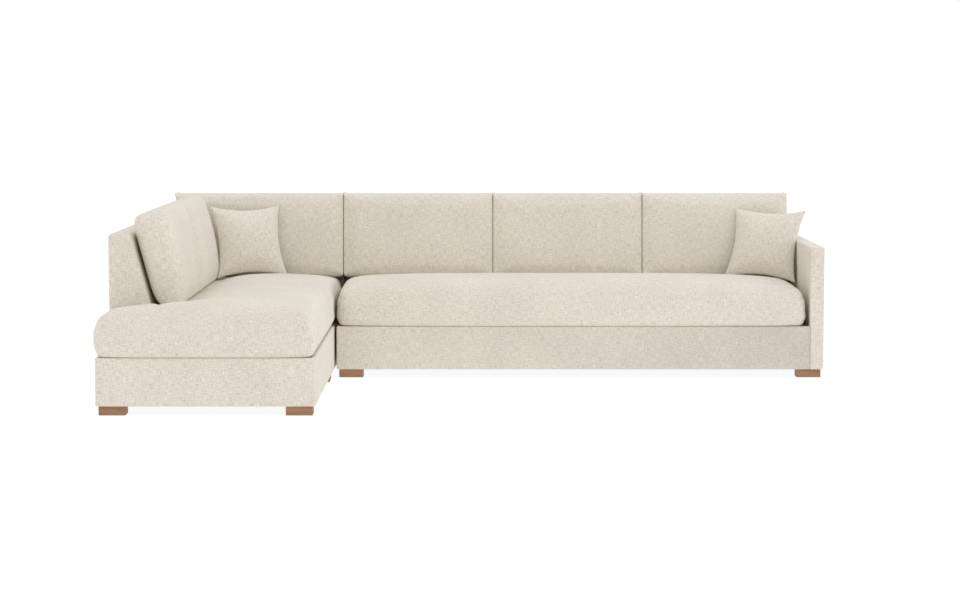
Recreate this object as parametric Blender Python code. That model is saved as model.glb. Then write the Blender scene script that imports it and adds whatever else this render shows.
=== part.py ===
"""Sectional sofa with a bumper chaise on the left and one slim arm on the right.

Metres, +Z up, front towards -Y. The origin is at the middle of the footprint, on the floor.
The sofa module stands still. The bumper module hooks onto it, and every loose cushion lifts off.
"""
import math

import bmesh
import bpy
from mathutils import Matrix, Vector

# The two modules in plan
SOFA_WIDTH = 2.157
SOFA_DEPTH = 0.960
BUMPER_WIDTH = 0.863
CHAISE_REACH = 1.240
MODULE_GAP = 0.010

# Levels above the floor
FOOT_HEIGHT = 0.036
BASE_HEIGHT = 0.192
ARM_HEIGHT = 0.569
BACK_HEIGHT = 0.681
SEAT_EDGE_HEIGHT = 0.395
SEAT_CROWN = 0.042
BACK_CUSHION_TOP = 0.785

# Backs and arm
BACK_TOP_THICKNESS = 0.094
BACK_LEAN = math.radians(15.3)
SIDE_BACK_SETBACK = 0.377
ARM_WIDTH = 0.061
COVER = 0.010
COVER_ROUNDING = 0.014

# Boards, panels and the seat build-up
BORDER = 0.016
BORDER_ROUNDING = 0.007
RAIL = 0.028
DECK = 0.010
DUST_COVER = 0.0024
RIB = 0.024
BACK_RAIL = 0.070
ARM_RAIL = 0.060
RIB_PITCH = 0.290

# Sinuous springs and the clip bars that hold their ends
WIRE = 0.0032
CLIP_BAR = 0.016
CLIP_BAR_HEIGHT = 0.0042
WAVE = 0.150
WAVE_WIDTH = 0.064
SPRING_PITCH = 0.250

# Feet, with the longer side across the sofa
FOOT_LENGTH = 0.106
FOOT_DEPTH = 0.072
FOOT_INSET = 0.011
FOOT_EDGE = 0.0015
MIDDLE_FOOT_LEAD = 0.160

# Gaps between pieces that touch, and between soft pieces
SEATED = 0.0003
SOFT_SEATED = 0.0005
SOFT_GAP = 0.004
OVERRUN = 0.030

# Seat cushions: bulge past the base, edge rounding, plan corners
CUSHION_OVERHANG = 0.010
SEAT_EDGE_RADIUS = 0.052
SEAT_LOWER_RADIUS = 0.030
SEAT_CORNER = 0.055
SEAT_FLARE_REACH = 0.140
SEAT_SPACING = 0.180
CROWN_REACH = 0.600
CROWN_TURN = 0.200
CORE_MARGIN = 0.060
CORE_HEIGHT = 0.100
CORE_LIFT = 0.026
ZIP_LENGTH = 0.420
ZIP_HEIGHT = 0.012

# Back and side cushions, measured level, front to back
BACK_CUSHION_LOWER_EDGE = 0.100
BACK_CUSHION_UPPER_EDGE = 0.160
BACK_CUSHION_FRONT_BELLY = 0.022
BACK_CUSHION_REAR_BELLY = 0.032
BACK_CUSHION_LEAN = math.radians(10.5)
BACK_CUSHION_OFFSET = 0.0835
BACK_CUSHION_ROUNDING = 0.030
BACK_CUSHION_EASING = 0.010
BACK_CUSHION_CORNER = 0.020
BACK_CUSHION_DRAW = 0.003
BACK_CUSHION_GAP = 0.0015
BACK_CUSHION_SPACING = 0.120
SIDE_CUSHION_LENGTH = 0.697
SIDE_CUSHION_TOP = 0.765
SIDE_CUSHION_SETBACK = 0.004

# Throw pillows, corner to corner, and where each one's middle stands
PILLOW_SIZE = 0.345
PILLOW_THICKNESS = 0.116
PILLOW_EDGE = 0.006
PILLOW_DRAW = 0.026
PILLOW_LEAN = math.radians(18.0)
LEFT_PILLOW_TURN = math.radians(25.0)
LEFT_PILLOW_FROM_SEAM = 0.4175
LEFT_PILLOW_RISE = 0.1680
LEFT_PILLOW_STANDOFF = 0.1829
RIGHT_PILLOW_TURN = math.radians(-24.0)
RIGHT_PILLOW_ROLL = math.radians(3.0)
RIGHT_PILLOW_FROM_ARM = 0.139
RIGHT_PILLOW_RISE = 0.1630
RIGHT_PILLOW_STANDOFF = 0.1778

# Connectors: two interlocked hooks in the gap between the modules
HOOK_PLAY = 0.0004
HOOK_LENGTH = 0.070
HOOK_DEPTH = 0.040
HOOK_PLATE = 0.090
HOOK_LEVEL = 0.085
HOOK_INSET = 0.150

# Shares of an edge's radius, and of a cushion's middle, at which its mesh has lines
EDGE_SHARES = (0.0, 0.12, 0.45, 1.0)
PILLOW_SHARES = (0.0, 0.035, 0.11, 0.22, 0.36, 0.5, 0.64, 0.78, 0.89, 0.965, 1.0)
WALL_SHARES = (0.25, 0.5, 0.75)
CROWN_ACROSS_POWER = 5.0
CROWN_ALONG_POWER = 2.5
BELLY_POWER = 4.0
PILLOW_POWER = 0.62
ARC_STEPS = 4

# Colours as base colour, roughness and metallic share
FINISHES = {
    "fabric": ((0.74, 0.68, 0.58), 0.95, 0.0),
    "hardwood": ((0.62, 0.45, 0.28), 0.75, 0.0),
    "foot_wood": ((0.38, 0.20, 0.10), 0.55, 0.0),
    "steel": ((0.46, 0.46, 0.47), 0.35, 1.0),
    "felt": ((0.16, 0.16, 0.16), 0.95, 0.0),
    "foam": ((0.90, 0.86, 0.66), 0.90, 0.0),
}

# Worked out from the sizes above
OVERALL_WIDTH = CUSHION_OVERHANG + BUMPER_WIDTH + MODULE_GAP + SOFA_WIDTH
OVERALL_DEPTH = CUSHION_OVERHANG + CHAISE_REACH + SOFA_DEPTH
X_BUMPER_LEFT = CUSHION_OVERHANG - OVERALL_WIDTH / 2
X_BUMPER_RIGHT = X_BUMPER_LEFT + BUMPER_WIDTH
X_SOFA_LEFT = X_BUMPER_RIGHT + MODULE_GAP
X_SEAM = X_BUMPER_RIGHT + MODULE_GAP / 2
X_SOFA_RIGHT = OVERALL_WIDTH / 2
X_ARM_INNER = X_SOFA_RIGHT - ARM_WIDTH
Y_REAR = OVERALL_DEPTH / 2
Y_SOFA_FRONT = Y_REAR - SOFA_DEPTH
Y_BUMPER_FRONT = Y_SOFA_FRONT - CHAISE_REACH
Y_SIDE_FRONT = Y_BUMPER_FRONT + SIDE_BACK_SETBACK

Z_UNDER = FOOT_HEIGHT + SEATED
Z_BASE_TOP = FOOT_HEIGHT + BASE_HEIGHT
Z_DECK = Z_BASE_TOP - DECK
Z_SPRINGS = Z_DECK - SEATED - CLIP_BAR_HEIGHT
Z_RAIL_TOP = Z_SPRINGS - SEATED
Z_RAIL_LOW = Z_UNDER + DUST_COVER + SEATED
Z_BACK_LOW = Z_BASE_TOP + SEATED
Z_SEAT_LOW = Z_BASE_TOP + SOFT_SEATED
Z_BACK_CUSHION_LOW = SEAT_EDGE_HEIGHT + SOFT_SEATED
FRAME_INSET = COVER + SEATED
HOOK_WALL = (MODULE_GAP - 2 * SEATED - 3 * HOOK_PLAY) / 4
LEAN_SLOPE = math.tan(BACK_LEAN)
CUSHION_SLOPE = math.tan(BACK_CUSHION_LEAN)


def clear_scene():
    """Remove everything that the new file starts with."""
    for obj in list(bpy.data.objects):
        bpy.data.objects.remove(obj, do_unlink=True)


def make_materials():
    """One Principled material for each finish."""
    made = {}
    for name, (colour, roughness, metallic) in FINISHES.items():
        material = bpy.data.materials.new(name)
        material.use_nodes = True
        shader = material.node_tree.nodes["Principled BSDF"]
        shader.inputs["Base Color"].default_value = (*colour, 1.0)
        shader.inputs["Roughness"].default_value = roughness
        shader.inputs["Metallic"].default_value = metallic
        made[name] = material
    return made


def add_object(name, vertices, faces, finish, origin=(0.0, 0.0, 0.0)):
    """A closed mesh, given in world coordinates, with its origin where the piece is carried."""
    mesh = bpy.data.meshes.new(name)
    mesh.from_pydata([Vector(v) - Vector(origin) for v in vertices], [], faces)
    work = bmesh.new()
    work.from_mesh(mesh)
    bmesh.ops.recalc_face_normals(work, faces=work.faces)
    work.to_mesh(mesh)
    work.free()
    obj = bpy.data.objects.new(name, mesh)
    obj.location = origin
    bpy.context.scene.collection.objects.link(obj)
    if finish:
        mesh.materials.append(MATERIALS[finish])
    return obj


def box_shape(low, high):
    """Corners and faces of a box."""
    corners = [(x, y, z) for z in (low[2], high[2]) for y in (low[1], high[1]) for x in (low[0], high[0])]
    faces = [(0, 1, 3, 2), (4, 5, 7, 6), (0, 1, 5, 4), (2, 3, 7, 6), (0, 2, 6, 4), (1, 3, 7, 5)]
    return corners, faces


def join_shapes(shapes):
    """Several separate shapes as one list of vertices and faces."""
    vertices, faces = [], []
    for shape_vertices, shape_faces in shapes:
        start = len(vertices)
        vertices.extend(shape_vertices)
        faces.extend(tuple(start + index for index in face) for face in shape_faces)
    return vertices, faces


def add_box(name, low, high, finish, rounding=0.0):
    """A board, panel or block, with its edges eased where a rounding is given."""
    obj = add_object(name, *box_shape(low, high), finish)
    if rounding:
        ease = obj.modifiers.new("eased_edges", 'BEVEL')
        ease.width = rounding
        ease.segments = 2
    return obj


def boolean(obj, cutter, operation):
    """Join or cut with a helper object that stays out of the model."""
    cutter.hide_render = True
    cutter.display_type = 'WIRE'
    step = obj.modifiers.new(operation.lower(), 'BOOLEAN')
    step.object = cutter
    step.operation = operation
    step.solver = 'EXACT'


def swept_shape(outline, place_start, place_end):
    """A prism between two placements of the same outline, with flat ends."""
    count = len(outline)
    vertices = [place_start(*point) for point in outline] + [place_end(*point) for point in outline]
    faces = [tuple(range(count)), tuple(range(count, 2 * count))]
    faces += [(i, (i + 1) % count, count + (i + 1) % count, count + i) for i in range(count)]
    return vertices, faces


def rounded_outline(corners):
    """An outline from (across, up, radius) corners, each radius drawn as a short arc."""
    points = []
    count = len(corners)
    for index, (across, up, radius) in enumerate(corners):
        here = Vector((across, up))
        if not radius:
            points.append((across, up))
            continue
        before = (Vector(corners[index - 1][:2]) - here).normalized()
        after = (Vector(corners[(index + 1) % count][:2]) - here).normalized()
        half_angle = before.angle(after) / 2
        centre = here + (before + after).normalized() * (radius / math.sin(half_angle))
        start = here + before * (radius / math.tan(half_angle)) - centre
        end = here + after * (radius / math.tan(half_angle)) - centre
        sweep = start.angle_signed(end)
        for step in range(ARC_STEPS + 1):
            turned = start.copy()
            turned.rotate(Matrix.Rotation(-sweep * step / ARC_STEPS, 2))
            points.append(tuple(centre + turned))
    return points


def back_thickness(level):
    """How far an inclined back's inner face stands from its outer face at a level."""
    return BACK_TOP_THICKNESS + (BACK_HEIGHT - level) * LEAN_SLOPE


def back_outline(inset, low):
    """Section of a back, as (distance from its outer face, level), drawn in by inset."""
    slant = inset / math.cos(BACK_LEAN)
    top = BACK_HEIGHT - inset
    radius = 0.0 if inset else COVER_ROUNDING
    return rounded_outline([
        (inset, low, 0.0),
        (back_thickness(low) - slant, low, 0.0),
        (back_thickness(top) - slant, top, radius),
        (inset, top, radius),
    ])


def rear_back_face(level, slack):
    """Y of the rear backs' inclined face at a level, moved forward by slack."""
    return Y_REAR - back_thickness(level) - slack / math.cos(BACK_LEAN)


def lattice(name, us, vs, open_cells, point, finish):
    """A board with openings: a grid of cells between two faces, some cells left open."""
    columns, rows = len(us) - 1, len(vs) - 1
    filled = {(i, j) for i in range(columns) for j in range(rows)} - set(open_cells)
    index, vertices, faces = {}, [], []

    def corner(i, j, side):
        key = (i, j, side)
        if key not in index:
            index[key] = len(vertices)
            vertices.append(point(us[i], vs[j], side))
        return index[key]

    for i, j in sorted(filled):
        ring = [(i, j), (i + 1, j), (i + 1, j + 1), (i, j + 1)]
        for side in (0, 1):
            faces.append(tuple(corner(*node, side) for node in ring))
        beyond = [(i, j - 1), (i + 1, j), (i, j + 1), (i - 1, j)]
        for k, cell in enumerate(beyond):
            if cell not in filled:
                a, b = ring[k], ring[(k + 1) % 4]
                faces.append((corner(*a, 0), corner(*b, 0), corner(*b, 1), corner(*a, 1)))
    add_object(name, vertices, faces, finish)


def rib_lines(start, end):
    """Lines of evenly spaced ribs: rib, gap, rib, and so on, ending with a rib."""
    gaps = max(2, math.ceil((end - start - RIB) / RIB_PITCH))
    pitch = (end - start - RIB) / gaps
    lines = []
    for k in range(gaps + 1):
        lines += [start + k * pitch, start + k * pitch + RIB]
    return lines


def rail_levels(low, middle, top, rail):
    """Levels of a frame's lower, middle and top rails."""
    return [low, low + rail, middle, middle + rail, top - rail, top]


def back_levels():
    """Levels of the rails in every back frame."""
    top = BACK_HEIGHT - FRAME_INSET
    return rail_levels(Z_BACK_LOW, (Z_BACK_LOW + top) / 2, top, BACK_RAIL)


def ribbed_frame(name, lines, levels, point):
    """Ribs between a lower rail, a middle rail and a top rail."""
    open_cells = [(i, j) for i in range(1, len(lines) - 2, 2) for j in (1, 3)]
    lattice(name, lines, levels, open_cells, point, "hardwood")


def back_frame(name, x_low, x_high):
    """Rear back frame: ribs with an inclined front edge, tied by three rails."""
    def point(x, level, side):
        return (x, Y_REAR - FRAME_INSET if side else rear_back_face(level, -FRAME_INSET), level)

    ribbed_frame(name, rib_lines(x_low + FRAME_INSET, x_high - FRAME_INSET), back_levels(), point)


def side_frame():
    """The bumper's side back frame, which runs back to the rear back."""
    start = Y_SIDE_FRONT + FRAME_INSET
    end = rear_back_face(Z_BACK_LOW, SEATED + FRAME_INSET)

    def point(y, level, side):
        lean_share = (y - start) / (end - start)
        shift = rear_back_face(level, SEATED + FRAME_INSET) - end
        thickness = back_thickness(level) - FRAME_INSET / math.cos(BACK_LEAN)
        return (X_BUMPER_LEFT + (FRAME_INSET if side else thickness), y + shift * lean_share, level)

    ribbed_frame("bumper_side_frame", rib_lines(start, end), back_levels(), point)


def back_cover(name, x_low, x_high):
    """Upholstered shell over a rear back frame, open underneath."""
    def at(x):
        return lambda across, level: (x, Y_REAR - across, level)

    shell = add_object(name, *swept_shape(back_outline(0.0, Z_BACK_LOW), at(x_low), at(x_high)), "fabric")
    inner = swept_shape(back_outline(COVER, Z_BACK_LOW - OVERRUN), at(x_low + COVER), at(x_high - COVER))
    boolean(shell, add_object(name + "_hollow", *inner, None), 'DIFFERENCE')


def side_cover():
    """Upholstered shell over the side back frame, cut to the slope of the rear back."""
    def front(y):
        return lambda across, level: (X_BUMPER_LEFT + across, y, level)

    def rear(slack):
        return lambda across, level: (X_BUMPER_LEFT + across, rear_back_face(level, slack), level)

    outer = swept_shape(back_outline(0.0, Z_BACK_LOW), front(Y_SIDE_FRONT), rear(SEATED))
    shell = add_object("bumper_side_cover", *outer, "fabric")
    inner = swept_shape(back_outline(COVER, Z_BACK_LOW - OVERRUN), front(Y_SIDE_FRONT + COVER),
                        rear(SEATED + COVER))
    boolean(shell, add_object("bumper_side_cover_hollow", *inner, None), 'DIFFERENCE')


def arm_parts():
    """The slim right arm: a board frame inside an upholstered shell, open underneath."""
    low = (X_ARM_INNER, Y_SOFA_FRONT, Z_UNDER)
    high = (X_SOFA_RIGHT, Y_REAR, ARM_HEIGHT)
    shell = add_box("sofa_arm_cover", low, high, "fabric", BORDER_ROUNDING)
    hollow_low = (low[0] + COVER, low[1] + COVER, low[2] - OVERRUN)
    hollow_high = tuple(value - COVER for value in high)
    boolean(shell, add_object("sofa_arm_hollow", *box_shape(hollow_low, hollow_high), None), 'DIFFERENCE')

    def point(y, level, side):
        return (high[0] - FRAME_INSET if side else low[0] + FRAME_INSET, y, level)

    lines = rib_lines(low[1] + FRAME_INSET, high[1] - FRAME_INSET)
    levels = rail_levels(Z_UNDER, Z_BASE_TOP, ARM_HEIGHT - FRAME_INSET, ARM_RAIL)
    ribbed_frame("sofa_arm_frame", lines, levels, point)


def spring_wire(start, end, along_x, across, level):
    """One sinuous wire as a square tube that waves between two clip bars."""
    waves = 2 * round((end - start) / WAVE)
    step = (end - start) / waves
    path = [(start, 0.0)]
    for k in range(waves):
        side = WAVE_WIDTH / 2 if k % 2 else -WAVE_WIDTH / 2
        middle = start + (k + 0.5) * step
        path += [(middle - step / 4, side), (middle + step / 4, side)]
    path.append((end, 0.0))
    vertices, faces = [], []
    for k, (run, side) in enumerate(path):
        before = path[max(k - 1, 0)]
        after = path[min(k + 1, len(path) - 1)]
        normal = Vector((before[1] - after[1], after[0] - before[0])).normalized() * (WIRE / 2)
        for sign in (-1, 1):
            for lift in (-WIRE / 2, WIRE / 2):
                along, off = run + sign * normal.x, across + side + sign * normal.y
                vertices.append((along, off, level + lift) if along_x else (off, along, level + lift))
    ring = (0, 1, 3, 2)
    for k in range(len(path) - 1):
        a, b = 4 * k, 4 * k + 4
        faces += [(a + ring[i], a + ring[(i + 1) % 4], b + ring[(i + 1) % 4], b + ring[i]) for i in range(4)]
    last = len(vertices) - 4
    faces += [ring, tuple(last + i for i in ring)]
    return vertices, faces


def springs(name, low, high, along_x):
    """A set of sinuous springs between two clip bars that lie on opposite rails."""
    axis = 0 if along_x else 1
    across = 1 - axis
    bars = []
    for edge in (low[axis], high[axis] - CLIP_BAR):
        bar_low = [low[0], low[1], Z_SPRINGS]
        bar_high = [high[0], high[1], Z_SPRINGS + CLIP_BAR_HEIGHT]
        bar_low[axis], bar_high[axis] = edge, edge + CLIP_BAR
        bars.append(box_shape(bar_low, bar_high))
    body = add_object(name, *join_shapes(bars), "steel")
    count = round((high[across] - low[across]) / SPRING_PITCH)
    pitch = (high[across] - low[across]) / count
    level = Z_SPRINGS + CLIP_BAR_HEIGHT / 2
    start, end = low[axis] + CLIP_BAR / 2, high[axis] - CLIP_BAR / 2
    wires = [spring_wire(start, end, along_x, low[across] + (k + 0.5) * pitch, level) for k in range(count)]
    boolean(body, add_object(name + "_wires", *join_shapes(wires), None), 'UNION')


def add_foot(name, x_low, y_low, along_y=False):
    """A plain hardwood block foot with eased edges."""
    length, depth = (FOOT_DEPTH, FOOT_LENGTH) if along_y else (FOOT_LENGTH, FOOT_DEPTH)
    add_box(name, (x_low, y_low, 0.0), (x_low + length, y_low + depth, FOOT_HEIGHT), "foot_wood", FOOT_EDGE)


def base(module, x_low, x_high, y_low, right_border):
    """Rails, borders, deck and dust cover of one module, from the rails outwards."""
    fix = BORDER + SEATED
    inner_low = (x_low + fix, y_low + fix)
    inner_high = (x_high - (fix if right_border else SEATED), Y_REAR - fix)
    add_box(module + "_front_border", (x_low, y_low, Z_UNDER), (x_high, y_low + BORDER, Z_BASE_TOP),
            "fabric", BORDER_ROUNDING)
    add_box(module + "_rear_border", (x_low, Y_REAR - BORDER, Z_UNDER), (x_high, Y_REAR, Z_BASE_TOP),
            "fabric", BORDER_ROUNDING)
    add_box(module + "_left_border", (x_low, inner_low[1], Z_UNDER),
            (x_low + BORDER, inner_high[1], Z_BASE_TOP), "fabric", BORDER_ROUNDING)
    if right_border:
        add_box(module + "_right_border", (x_high - BORDER, inner_low[1], Z_UNDER),
                (x_high, inner_high[1], Z_BASE_TOP), "fabric", BORDER_ROUNDING)

    front_rail = inner_low[1] + RAIL
    rear_rail = inner_high[1] - RAIL
    rails = {
        "front_rail": ((*inner_low, Z_RAIL_LOW), (inner_high[0], front_rail, Z_RAIL_TOP)),
        "rear_rail": ((inner_low[0], rear_rail, Z_RAIL_LOW), (*inner_high, Z_RAIL_TOP)),
        "left_rail": ((inner_low[0], front_rail + SEATED, Z_RAIL_LOW),
                      (inner_low[0] + RAIL, rear_rail - SEATED, Z_RAIL_TOP)),
        "right_rail": ((inner_high[0] - RAIL, front_rail + SEATED, Z_RAIL_LOW),
                       (inner_high[0], rear_rail - SEATED, Z_RAIL_TOP)),
    }
    for part, (low, high) in rails.items():
        add_box(f"{module}_{part}", low, high, "hardwood")
    add_box(module + "_seat_deck", (*inner_low, Z_DECK), (*inner_high, Z_BASE_TOP), "felt")
    add_box(module + "_dust_cover", (*inner_low, Z_UNDER), (*inner_high, Z_UNDER + DUST_COVER), "felt")
    return inner_low, inner_high


def middle_rail(name, low, high):
    """A rail across the middle of a base, with its top kept clear of the springs."""
    add_box(name, (*low, Z_RAIL_LOW), (*high, Z_RAIL_TOP - SOFT_GAP), "hardwood")


def hook_outline(x_start, direction, z_plate, z_bend, up):
    """Section of a connector hook: a plate, a bend and a tongue that runs back along the plate."""
    tongue = x_start + direction * (2 * HOOK_WALL + 2 * HOOK_PLAY)
    plate = x_start + direction * HOOK_WALL
    bend = z_bend - up * HOOK_WALL
    tip = z_bend - up * HOOK_DEPTH
    return [(x_start, z_plate), (plate, z_plate), (plate, bend), (tongue, bend), (tongue, tip),
            (tongue + direction * HOOK_WALL, tip), (tongue + direction * HOOK_WALL, z_bend),
            (x_start, z_bend)]


def connectors():
    """Hooks on the bumper drop over hooks on the sofa, at the front and rear of the seam."""
    sofa_bend = HOOK_LEVEL
    bumper_bend = HOOK_LEVEL + HOOK_DEPTH + HOOK_WALL + SEATED
    sofa_hook = hook_outline(X_SOFA_LEFT - SEATED, -1, HOOK_LEVEL + HOOK_PLATE, sofa_bend, -1)
    bumper_hook = hook_outline(X_BUMPER_RIGHT + SEATED, 1, bumper_bend - HOOK_PLATE, bumper_bend, 1)
    starts = {"front": Y_SOFA_FRONT + HOOK_INSET, "rear": Y_REAR - HOOK_INSET - HOOK_LENGTH}
    for place, start in starts.items():
        for module, outline in (("sofa", sofa_hook), ("bumper", bumper_hook)):
            shape = swept_shape(outline, lambda x, z: (x, start, z), lambda x, z: (x, start + HOOK_LENGTH, z))
            add_object(f"{module}_connector_{place}", *shape, "steel")


def edge_lines(low, high, radius, spacing):
    """Grid lines across a cushion: close together over each rounded edge, even between them."""
    count = max(1, round((high - low - 2 * radius) / spacing))
    step = (high - low - 2 * radius) / count
    near = [low + share * radius for share in EDGE_SHARES]
    middle = [low + radius + k * step for k in range(1, count)]
    return near + middle + [high - share * radius for share in reversed(EDGE_SHARES)]


def padded_shape(us, vs, filled, surface, wall):
    """A closed padded form: two faces over a grid of cells, joined by a wall of rings.

    surface(u, v, side) gives a point of the face, and wall(u, v, share, normal) one of the wall.
    """
    index, vertices, faces = {}, [], []

    def node(key, make):
        if key not in index:
            index[key] = len(vertices)
            vertices.append(make())
        return index[key]

    def face_node(i, j, side):
        return node((i, j, side), lambda: surface(us[i], vs[j], side))

    normals, edges = {}, []
    for i, j in sorted(filled):
        ring = [(i, j), (i + 1, j), (i + 1, j + 1), (i, j + 1)]
        for side in (0, 1):
            faces.append(tuple(face_node(*corner, side) for corner in ring))
        beyond = [((i, j - 1), (0, -1)), ((i + 1, j), (1, 0)), ((i, j + 1), (0, 1)), ((i - 1, j), (-1, 0))]
        for k, (cell, outward) in enumerate(beyond):
            if cell not in filled:
                a, b = ring[k], ring[(k + 1) % 4]
                edges.append((a, b))
                for corner in (a, b):
                    normals[corner] = normals.get(corner, Vector((0.0, 0.0))) + Vector(outward)

    for a, b in edges:
        columns = []
        for corner in (a, b):
            i, j = corner
            outward = normals[corner].normalized()
            column = [face_node(i, j, 0)]
            for share in WALL_SHARES if wall else ():
                key = (i, j, "wall", share)
                column.append(node(key, lambda: wall(us[i], vs[j], share, outward)))
            columns.append(column + [face_node(i, j, 1)])
        for k in range(len(columns[0]) - 1):
            faces.append((columns[0][k], columns[1][k], columns[1][k + 1], columns[0][k + 1]))
    return vertices, faces


def nearness(distance, radius):
    """One at an edge, falling to zero a radius inside it."""
    return min(1.0, max(0.0, 1.0 - distance / radius))


def rounded_drop(near_u, near_v=0.0):
    """Share of its radius that a face falls towards a rounded edge or corner."""
    q = near_u ** 2 + near_v ** 2 - (near_u * near_v) ** 2
    return 1.0 - math.sqrt(max(0.0, 1.0 - q))


def round_corner(u, v, corner, out_u, out_v, radius):
    """Draw a square plan corner in to a round one."""
    s = ((u - corner[0]) * out_u + radius) / radius
    t = ((v - corner[1]) * out_v + radius) / radius
    if s <= 0.0 or t <= 0.0:
        return u, v
    s, t = min(s, 1.0), min(t, 1.0)
    return (corner[0] + out_u * radius * (s * math.sqrt(1.0 - t * t / 2) - 1.0),
            corner[1] + out_v * radius * (t * math.sqrt(1.0 - s * s / 2) - 1.0))


def crown_share(value, low, high, power):
    """A crown that is one in the middle of a stretch and zero at its ends and beyond."""
    place = (value - low) / (high - low)
    if not 0.0 < place < 1.0:
        return 0.0
    return 1.0 - abs(2.0 * place - 1.0) ** power


def seat_cushion(name, low, high, notch, crown_start):
    """A boxed seat cushion with a crown; a notch leaves room for a side back."""
    x0, y0 = low
    x1, y1 = high
    radius = SEAT_EDGE_RADIUS
    crown_end = Y_SOFA_FRONT + CROWN_REACH
    corners = [(x0, y0, -1, -1), (x1, y0, 1, -1), (x1, y1, 1, 1)]
    if notch:
        xs = edge_lines(x0, notch[0], radius, SEAT_SPACING)[:-len(EDGE_SHARES)]
        xs += edge_lines(notch[0], x1, radius, SEAT_SPACING)
        ys = edge_lines(y0, notch[1], radius, SEAT_SPACING)
        ys += edge_lines(notch[1], y1, radius, SEAT_SPACING)[len(EDGE_SHARES):]
        corners += [(notch[0], y1, -1, 1), (x0, notch[1], -1, 1)]
    else:
        xs = edge_lines(x0, x1, radius, SEAT_SPACING)
        ys = edge_lines(y0, y1, radius, SEAT_SPACING)
        corners += [(x0, y1, -1, 1)]
    xs = sorted(set(xs) | {crown_start})
    ys = sorted(set(ys) | {crown_end})
    filled = {(i, j) for i in range(len(xs) - 1) for j in range(len(ys) - 1)
              if not notch or xs[i] > notch[0] - SEATED or ys[j] < notch[1] - SEATED}

    def distances(x, y):
        to_notch = math.inf
        if notch:
            to_notch = math.hypot(max(0.0, x - notch[0]), max(0.0, notch[1] - y))
        return min(x - x0, x1 - x), min(y - y0, y1 - y), to_notch

    def drop(x, y, edge):
        across, along, to_notch = distances(x, y)
        outer = rounded_drop(nearness(across, edge), nearness(along, edge))
        return edge * max(outer, rounded_drop(nearness(to_notch, edge)))

    def crown(x, y):
        start = crown_start
        if notch:
            start = crown_start - (crown_start - x0) * min(1.0, max(0.0, (notch[1] - y) / CROWN_TURN))
        across = crown_share(x, start, x1, CROWN_ACROSS_POWER)
        return SEAT_CROWN * across * crown_share(y, y0, crown_end, CROWN_ALONG_POWER)

    def place(x, y, z):
        flat_x, flat_y = x, y
        for u, v, out_u, out_v in corners:
            flat_x, flat_y = round_corner(flat_x, flat_y, (u, v), out_u, out_v, SEAT_CORNER)
        rise = (z - Z_SEAT_LOW) * LEAN_SLOPE
        flat_y += rise * nearness(y1 - y, SEAT_FLARE_REACH)
        if notch:
            beyond = min(1.0, max(0.0, (y - notch[1]) / SEAT_FLARE_REACH))
            flat_x -= rise * nearness(x - notch[0], SEAT_FLARE_REACH) * beyond
        return (flat_x, flat_y, z)

    def surface(x, y, side):
        if side:
            return place(x, y, SEAT_EDGE_HEIGHT + crown(x, y) - drop(x, y, SEAT_EDGE_RADIUS))
        return place(x, y, Z_SEAT_LOW + drop(x, y, SEAT_LOWER_RADIUS))

    def wall(x, y, share, outward):
        low_z = Z_SEAT_LOW + SEAT_LOWER_RADIUS
        high_z = SEAT_EDGE_HEIGHT - SEAT_EDGE_RADIUS
        bulge = CUSHION_OVERHANG * math.sin(math.pi * share)
        moved_x, moved_y, z = place(x, y, low_z + share * (high_z - low_z))
        return (moved_x + outward.x * bulge, moved_y + outward.y * bulge, z)

    shape = padded_shape(xs, ys, filled, surface, wall)
    origin = ((x0 + x1) / 2, (y0 + y1) / 2, Z_SEAT_LOW)
    return add_object(name, *shape, "fabric", origin)


def core_outline(low, high, notch, grow):
    """Plan outline of a foam core, grown on every side."""
    x0, y0 = low[0] - grow, low[1] - grow
    x1, y1 = high[0] + grow, high[1] + grow
    if not notch:
        return [(x0, y0), (x1, y0), (x1, y1), (x0, y1)]
    x2, y2 = notch[0] - grow, notch[1] + grow
    return [(x0, y0), (x1, y0), (x1, y1), (x2, y1), (x2, y2), (x0, y2)]


def fill_seat_cushion(cushion, module, low, high, notch):
    """Put a foam core inside a seat cushion, with a zipped mouth at the rear to pass it through."""
    margin = CORE_MARGIN
    core_low = (low[0] + margin, low[1] + margin)
    core_high = (high[0] - margin, high[1] - margin)
    core_notch = (notch[0] + margin, notch[1] - margin) if notch else None
    z0 = Z_SEAT_LOW + CORE_LIFT
    z1 = z0 + CORE_HEIGHT

    def level(z):
        return lambda x, y: (x, y, z)

    core = swept_shape(core_outline(core_low, core_high, core_notch, 0.0), level(z0), level(z1))
    add_object(module + "_foam_core", *core, "foam")
    outline = core_outline(core_low, core_high, core_notch, SEATED)
    room = swept_shape(outline, level(z0 - SEATED), level(z1 + SEATED))
    boolean(cushion, add_object(module + "_core_room", *room, None), 'DIFFERENCE')

    middle_x = (core_low[0] + core_high[0]) / 2 if not notch else (core_notch[0] + core_high[0]) / 2
    middle_z = z0 + CORE_HEIGHT / 2
    rear = high[1] + (middle_z - Z_SEAT_LOW) * LEAN_SLOPE
    zip_low = (middle_x - ZIP_LENGTH / 2, core_high[1] + 2 * SEATED, middle_z - ZIP_HEIGHT / 2)
    zip_high = (middle_x + ZIP_LENGTH / 2, rear, middle_z + ZIP_HEIGHT / 2)
    add_box(module + "_cushion_zip", zip_low, zip_high, "felt")
    mouth_low = (zip_low[0] - SEATED, core_high[1] - SEATED, zip_low[2] - SEATED)
    mouth_high = (zip_high[0] + SEATED, rear + OVERRUN, zip_high[2] + SEATED)
    boolean(cushion, add_object(module + "_mouth", *box_shape(mouth_low, mouth_high), None), 'DIFFERENCE')


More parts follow.
